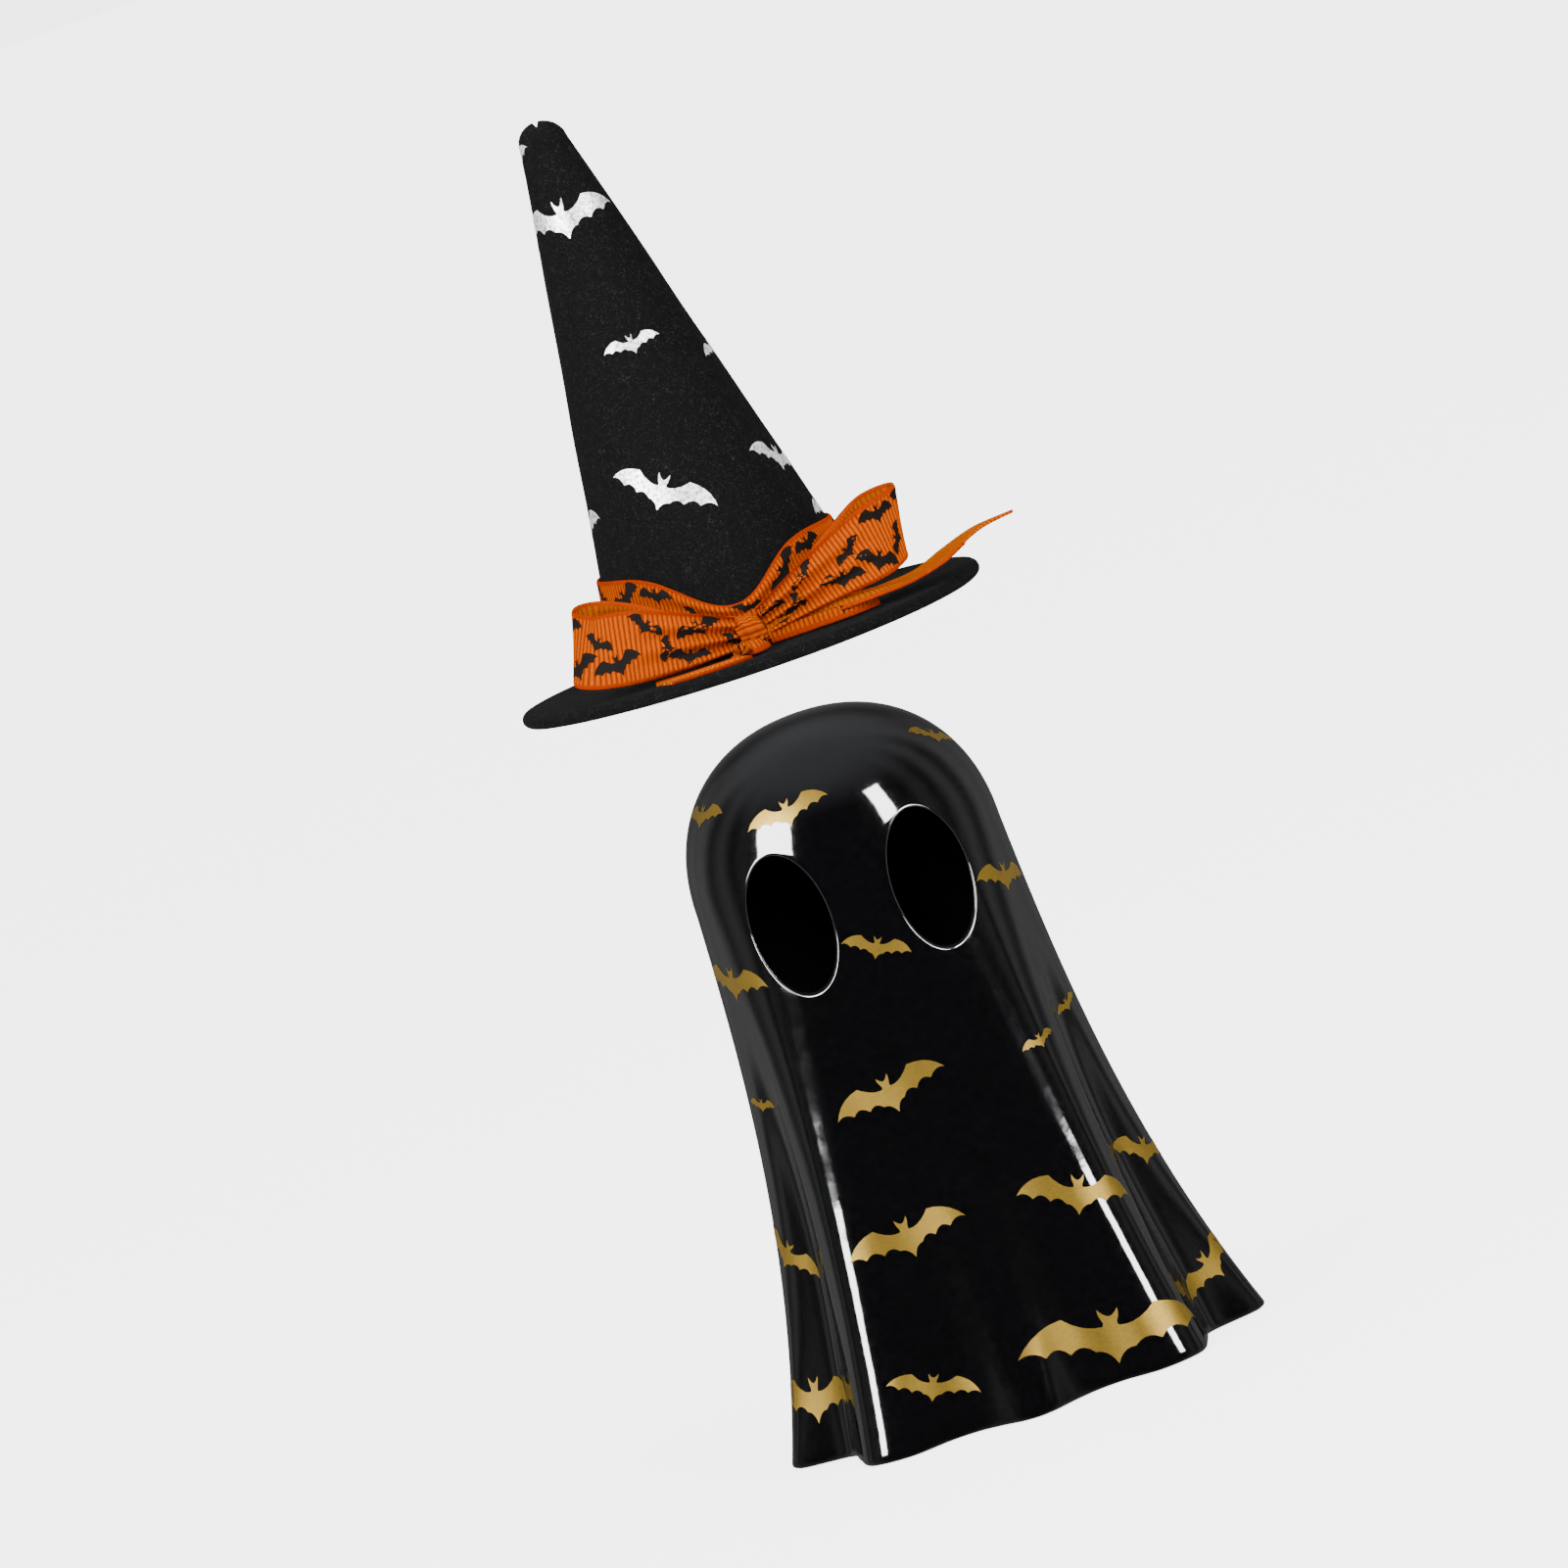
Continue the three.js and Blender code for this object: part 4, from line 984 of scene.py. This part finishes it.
def ribbon_piece(name, stations, first, looped=False, puff=0, slant=0.0):
    """One length of ribbon from stations of centre, across, out, width and cut."""
    bm = bmesh.new()
    rings = [ribbon_section(*station, puff=puff) for station in stations]
    rows = [first_row(bm, rings[0])]
    cloth = bm.loops.layers.uv.new("cloth")
    for places in rings[1:]:
        rows.append(grow(bm, rows[-1], places))
    if looped:
        bridged(bm, rows[-1], rows[0])
    else:
        bm.faces.new(rows[0])
        bm.faces.new(rows[-1])
    travel = [0.0]
    for a, b in zip(stations, stations[1:]):
        travel.append(travel[-1] + (b[0] - a[0]).length / MM)
    total = travel[-1] + ((stations[0][0] - stations[-1][0]).length / MM if looped else 0)
    where = {v: (r, i) for r, row in enumerate(rows) for i, v in enumerate(row)}
    for face in bm.faces:
        spots = [where[v] for v in face.verts]
        wraps = looped and {spot[0] for spot in spots} == {0, len(rows) - 1}
        reverse = sum(1 for spot in spots if spot[1] > ACROSS) > len(spots) / 2
        face.material_index = 1 if reverse else 0
        for loop in face.loops:
            r, i = where[loop.vert]
            step = i if i <= ACROSS else 2 * ACROSS + 1 - i
            cut = stations[r][4] if len(stations[r]) > 4 else -1
            down = FLAT_HALF * (1 + mix(cut, 1, step / ACROSS))
            loop[cloth].uv = (total if wraps and r == 0 else travel[r], down)
    bmesh.ops.recalc_face_normals(bm, faces=bm.faces)
    piece = finished(name, bm, [ribbon_face, ribbon_back])
    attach(piece, "hat")
    piece.visible_glossy = False
    if first is None:
        return piece, total * MM
    inks = bmesh.new()
    for along, side, span, tilt in printed_bats(total, first):
        bat = flat_bat(span, 0.8)
        bmesh.ops.scale(bat, verts=bat.verts, vec=(1, 1.45, 1))
        leant = Matrix.Rotation(math.radians(tilt), 3, "Z")
        bmesh.ops.rotate(bat, verts=bat.verts, cent=(0, 0, 0), matrix=leant)
        bmesh.ops.translate(bat, verts=bat.verts, vec=(along, side, 0))
        cuts = [((0, -PRINT_EDGE, 0), (0, -1, 0)), ((0, PRINT_EDGE, 0), (0, 1, 0))]
        if not looped:
            cuts.append(((0.3, 0, 0), (-1, 0, 0)))
            cuts.append(((total - 0.3, FLAT_HALF, 0), (2 * FLAT_HALF, -slant / MM, 0)))
        for spot, way in cuts:
            geometry = bat.verts[:] + bat.edges[:] + bat.faces[:]
            bmesh.ops.bisect_plane(bat, geom=geometry, plane_co=spot, plane_no=way, clear_outer=True)
        for v in bat.verts:
            at = v.co.x % total
            i = max(k for k in range(len(travel)) if travel[k] <= at)
            j = (i + 1) % len(travel)
            t = (at - travel[i]) / ((travel[j] if j else total) - travel[i])
            a, b = stations[i], stations[j]
            across = a[1].lerp(b[1], t).normalized()
            out = a[2].lerp(b[2], t).normalized()
            width = mix(a[3], b[3], t)
            stand = RIBBON_THICK * (0.56 if abs(v.co.y) < 6.4 else 0.68) + 0.03 * MM
            stand += pleat(v.co.y / FLAT_HALF, width, puff)
            v.co = a[0].lerp(b[0], t) + across * (v.co.y / (2 * FLAT_HALF) * width) + out * stand
        joined(inks, bat)
    inked = finished(name + "_print", inks, [print_ink])
    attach(inked, "hat")
    inked.visible_glossy = False
    return piece, total * MM


# Ribbon band.
# The ribbon goes once round the foot of the cone, is drawn down at the
# front and gathered behind the knot.
BAND_HEIGHT = 13.2 * MM
BAND_DIP = 7.2 * MM
BAND_GATHER = 0.52
GAP = 0.3 * MM
taper = (CONE_BASE - CONE_TIP) / (CONE_HEIGHT - CONE_TIP_ROUND)
band_stations = []
for i in range(220):
    angle = 360 * i / 220
    away = abs(((angle - 270 + 540) % 360) - 180)
    dip = math.exp(-((away / 26) ** 2))
    width = RIBBON_WIDE * mix(1, BAND_GATHER, dip)
    turn = math.radians(angle)
    height = BAND_HEIGHT - math.cos(turn) * 1.4 * MM - dip * BAND_DIP
    radial = Vector((math.cos(turn), math.sin(turn), 0))
    up = (radial * -taper + Vector((-CONE_LEAN, 0, 1))).normalized()
    out = Vector((-math.sin(turn), math.cos(turn), 0)).cross(up)
    centre = HAT_MIDDLE + radial * cone_radius(height) + Vector((-CONE_LEAN * height, 0, CONE_FOOT + height))
    band_stations.append((centre + out * (GAP + RIBBON_THICK / 2), up, out, width))
band, band_length = ribbon_piece("band", band_stations, 4, looped=True, puff=0.35)
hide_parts("ribbon_band")


# Bow knot.
# A short turn of the ribbon pulled tight over the band, its folds running
# slantwise round it.
KNOT_X = 1 * MM
KNOT_LONG = 6 * MM
KNOT_HIGH = 8 * MM
KNOT_DEEP = 6.4 * MM
KNOT_ROUND = 48
KNOT_STEPS = 36
band_front = cone_radius(BAND_HEIGHT - BAND_DIP) + GAP + RIBBON_THICK
knot_back = -(band_front + GAP + taper * KNOT_HIGH / 2)
knot_face = knot_back - KNOT_DEEP
knot_left = KNOT_X - KNOT_LONG / 2 - GAP
knot_right = KNOT_X + KNOT_LONG / 2 + GAP
loop_back = knot_back - 1.2 * MM
loop_front = knot_face + 1.4 * MM


def knot_ring(t):
    places = []
    for j in range(KNOT_ROUND):
        turn = 2 * math.pi * j / KNOT_ROUND
        c, s = math.cos(turn), math.sin(turn)
        fold = 0.5 - 0.5 * math.cos(t * 5 * math.pi + 1.6 * math.sin(turn))
        swell = (1 - 0.11 * fold) * (0.84 + 0.16 * math.sin(t * math.pi))
        places.append(HAT_MIDDLE + Vector((
            KNOT_X + (t - 0.5) * KNOT_LONG - s * 0.9 * MM,
            knot_back - KNOT_DEEP / 2 + math.copysign(abs(c) ** 0.75, c) * swell * KNOT_DEEP / 2,
            BRIM_THICK + GAP + KNOT_HIGH / 2 + math.copysign(abs(s) ** 0.75, s) * swell * KNOT_HIGH / 2,
        )))
    return places


knot = bmesh.new()
knot_rows = [first_row(knot, knot_ring(0))]
for i in range(1, KNOT_STEPS + 1):
    knot_rows.append(grow(knot, knot_rows[-1], knot_ring(i / KNOT_STEPS)))
knot.faces.new(knot_rows[0])
knot.faces.new(knot_rows[-1])
cloth = knot.loops.layers.uv.new("cloth")
spots = {v: (r, j) for r, row in enumerate(knot_rows) for j, v in enumerate(row)}
for face in knot.faces:
    wraps = {0, KNOT_ROUND - 1} <= {spots[v][1] for v in face.verts}
    for loop in face.loops:
        r, j = spots[loop.vert]
        loop[cloth].uv = ((KNOT_ROUND if wraps and j == 0 else j) * 22 / KNOT_ROUND, 1 + 14 * r / KNOT_STEPS)
bmesh.ops.recalc_face_normals(knot, faces=knot.faces)
knot_piece = finished("bow_knot_wrap", knot, [ribbon_face])
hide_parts("bow_knot")
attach(knot_piece, "hat")
knot_piece.visible_glossy = False


# Bow loops.
# Each loop leaves the knot gathered, opens to the ribbon's full width at its
# outer bend and comes back in front.
def bow_length(name, node, keys, steps, first, turned=1, puff=0, slant=0.0):
    """A ribbon through keys of middle point, way across and share of width.

    The slant is how much shorter its near edge is at the cut end.
    """
    lift = BRIM_THICK + GAP + RIBBON_THICK / 2
    middles = [Vector((x, y, z + lift)) for x, y, z, _, _ in keys]
    ways = [Vector(way) for _, _, _, way, _ in keys]
    shares = [Vector((share, 0, 0)) for *_, share in keys]
    stations = []
    reach = sum((curve_at(middles, (i + 1) / 200) - curve_at(middles, i / 200)).length for i in range(200))
    gone = 0.0
    for i in range(steps + 1):
        t = i / steps
        if i:
            gone += (curve_at(middles, t) - curve_at(middles, (i - 1) / steps)).length
        left = max(reach - gone, 0.25 * MM)
        cut = -1 + 2 * max(0, 1 - left / slant) if slant else -1
        ahead = (curve_at(middles, min(t + 0.001, 1)) - curve_at(middles, max(t - 0.001, 0))).normalized()
        way = curve_at(ways, t, even=True)
        way = (way - ahead * way.dot(ahead)).normalized()
        out = ahead.cross(way) * turned
        width = RIBBON_WIDE * curve_at(shares, t, even=True).x
        stations.append((HAT_MIDDLE + curve_at(middles, t), way, out, width, cut))
    piece, length = ribbon_piece(name, stations, first, puff=puff, slant=slant)
    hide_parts(node)


bow_length("bow_left", "bow_loop_left", [
    (knot_left, loop_back, 4.2 * MM, (0, 0, 1), 0.46),
    (knot_left - 9 * MM, loop_back - 0.4 * MM, 6 * MM, (-0.1, 0, 1), 0.62),
    (knot_left - 20 * MM, loop_back + 3.4 * MM, 10 * MM, (-0.2, 0, 1), 0.9),
    (knot_left - 29 * MM, loop_back + 5.6 * MM, 12.6 * MM, (-0.1, 0, 1), 1),
    (knot_left - 34.2 * MM, loop_back + 2 * MM, 12.6 * MM, (0.3, -0.3, 1), 1),
    (knot_left - 31.5 * MM, loop_back - 3.4 * MM, 10.8 * MM, (0.5, 0.1, 1), 1),
    (knot_left - 22 * MM, loop_front - 2.8 * MM, 9.1 * MM, (0.3, 0.1, 1), 1),
    (knot_left - 11 * MM, loop_front - 2.2 * MM, 6.6 * MM, (0.2, 0.1, 1), 0.78),
    (knot_left, loop_front, 4.2 * MM, (0, 0, 1), 0.46),
], 150, 9, turned=1)

bow_length("bow_right", "bow_loop_right", [
    (knot_right, loop_back, 5 * MM, (0, 0, 1), 0.4),
    (knot_right + 9 * MM, loop_back - 0.4 * MM, 8 * MM, (0.1, 0, 1), 0.5),
    (knot_right + 20 * MM, loop_back + 4 * MM, 12 * MM, (0.1, 0, 1), 0.8),
    (knot_right + 29 * MM, loop_back + 8.6 * MM, 15 * MM, (0.1, 0, 1), 1),
    (knot_right + 34.2 * MM, loop_back + 9 * MM, 15.6 * MM, (0.12, 0, 1), 1),
    (knot_right + 34.8 * MM, loop_back + 4.6 * MM, 15 * MM, (0.16, 0, 1), 1),
    (knot_right + 28 * MM, loop_front + 1.6 * MM, 13.2 * MM, (0.16, 0.05, 1), 1),
    (knot_right + 14 * MM, loop_front - 0.6 * MM, 9.4 * MM, (0.1, 0.05, 1), 0.72),
    (knot_right, loop_front, 5 * MM, (0, 0, 1), 0.4),
], 150, 21, turned=-1)


# Bow tails.
# The cut ends of the same ribbon: a long one over the brim's right edge, a
# short one under the right loop, and one that folds forward to the left.
bow_length("tail_right", "bow_tail_right", [
    (knot_right, knot_back - KNOT_DEEP / 2, 1.6 * MM, (0, 1, 0), 0.3),
    (knot_right + 9 * MM, loop_front + 2.4 * MM, 1.9 * MM, (-0.15, 1, 0.03), 0.42),
    (knot_right + 19 * MM, loop_front + 4.8 * MM, 1.9 * MM, (-0.4, 1, 0), 0.8),
    (knot_right + 29 * MM, loop_front + 10.4 * MM, 2.1 * MM, (-0.5, 1, 0), 1),
    (knot_right + 38 * MM, loop_front + 15 * MM, 3 * MM, (-0.5, 1, -0.09), 1),
    (knot_right + 44.8 * MM, loop_front + 19 * MM, 5.2 * MM, (-0.45, 1, -0.11), 1),
    (knot_right + 52 * MM, loop_front + 21 * MM, 6.8 * MM, (-0.3, 1, -0.03), 1),
    (knot_right + 60.6 * MM, loop_front + 22 * MM, 7.2 * MM, (-0.2, 1, 0), 1),
], 120, None, turned=-1, puff=-1, slant=18 * MM)

bow_length("end_right", "bow_end_right", [
    (knot_right, loop_front + 0.6 * MM, 0, (0, 1, 0), 0.22),
    (knot_right + 10 * MM, loop_front + 0.4 * MM, 0, (0.1, 1, 0), 0.3),
    (knot_right + 18 * MM, loop_front + 1.6 * MM, 0, (0.2, 1, 0), 0.42),
    (knot_right + 24.5 * MM, loop_front + 4.4 * MM, 0, (0.3, 1, 0), 0.2),
], 40, 30, turned=1, puff=1)

bow_length("tail_left", "bow_tail_left", [
    (KNOT_X, knot_face - GAP, 0.1 * MM, (1, 0, 0), 0.36),
    (KNOT_X - 1 * MM, knot_face - 5 * MM, 0, (1, 0.3, 0), 0.45),
    (KNOT_X - 5 * MM, knot_face - 8.6 * MM, 0, (0.9, 0.8, 0), 0.5),
    (KNOT_X - 12 * MM, knot_face - 8.6 * MM, 0, (0.1, 1, 0), 0.55),
    (KNOT_X - 18 * MM, knot_face - 7.2 * MM, 0, (-0.1, 1, 0), 0.5),
    (KNOT_X - 24 * MM, knot_face - 6 * MM, 0, (-0.2, 1, 0), 0.46),
], 60, 15, turned=1, puff=1, slant=5 * MM)


# Tea light.
# Moulded white plastic cup and base with a frosted flame over the LED. The
# metal parts are nickel-plated spring strip and tinned wire.
white_plastic = speckled(
    "moulded_white_plastic", (90.0, 2600.0, 0.35), [(0.3, (0.74, 0.72, 0.66)), (0.7, (0.82, 0.8, 0.74))],
    (0.15, 0.00015), Roughness=0.4, Subsurface_Weight=0.15, Subsurface_Scale=0.002,
)
amber = speckled(
    "frosted_flame_plastic", (120.0, 3200.0, 0.6), [(0.3, (0.9, 0.7, 0.4)), (0.7, (0.95, 0.82, 0.58))],
    (0.3, 0.0001), Roughness=0.35, Transmission_Weight=0.45, Subsurface_Weight=0.3, Subsurface_Scale=0.003,
)
epoxy = speckled(
    "led_epoxy_dome", (200.0, 1800.0, 0.3), [(0.3, (0.92, 0.8, 0.5)), (0.7, (0.97, 0.88, 0.64))],
    Roughness=0.12, Transmission_Weight=0.6,
)
nickel = speckled(
    "nickel_plate", (160.0, 4000.0, 0.7), [(0.3, (0.5, 0.51, 0.53)), (0.7, (0.72, 0.73, 0.75))],
    (0.15, 0.00005), Metallic=1.0, Roughness=0.28,
)
black_plastic = speckled(
    "moulded_black_plastic", (150.0, 3200.0, 0.5), [(0.3, (0.02, 0.02, 0.022)), (0.7, (0.04, 0.04, 0.043))],
    (0.3, 0.0001), Roughness=0.5,
)

tea_light = {
    "tealight_cup": white_plastic,
    "tealight_base": white_plastic,
    "battery_door": white_plastic,
    "flame_lens": amber,
    "led": epoxy,
    "coin_cell": nickel,
    "contact_top": nickel,
    "contact_switch": nickel,
    "led_lead_coin": nickel,
    "led_lead_switch": nickel,
    "switch_slider": black_plastic,
}
for node, made in tea_light.items():
    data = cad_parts[node].data
    data.materials.clear()
    data.materials.append(made)
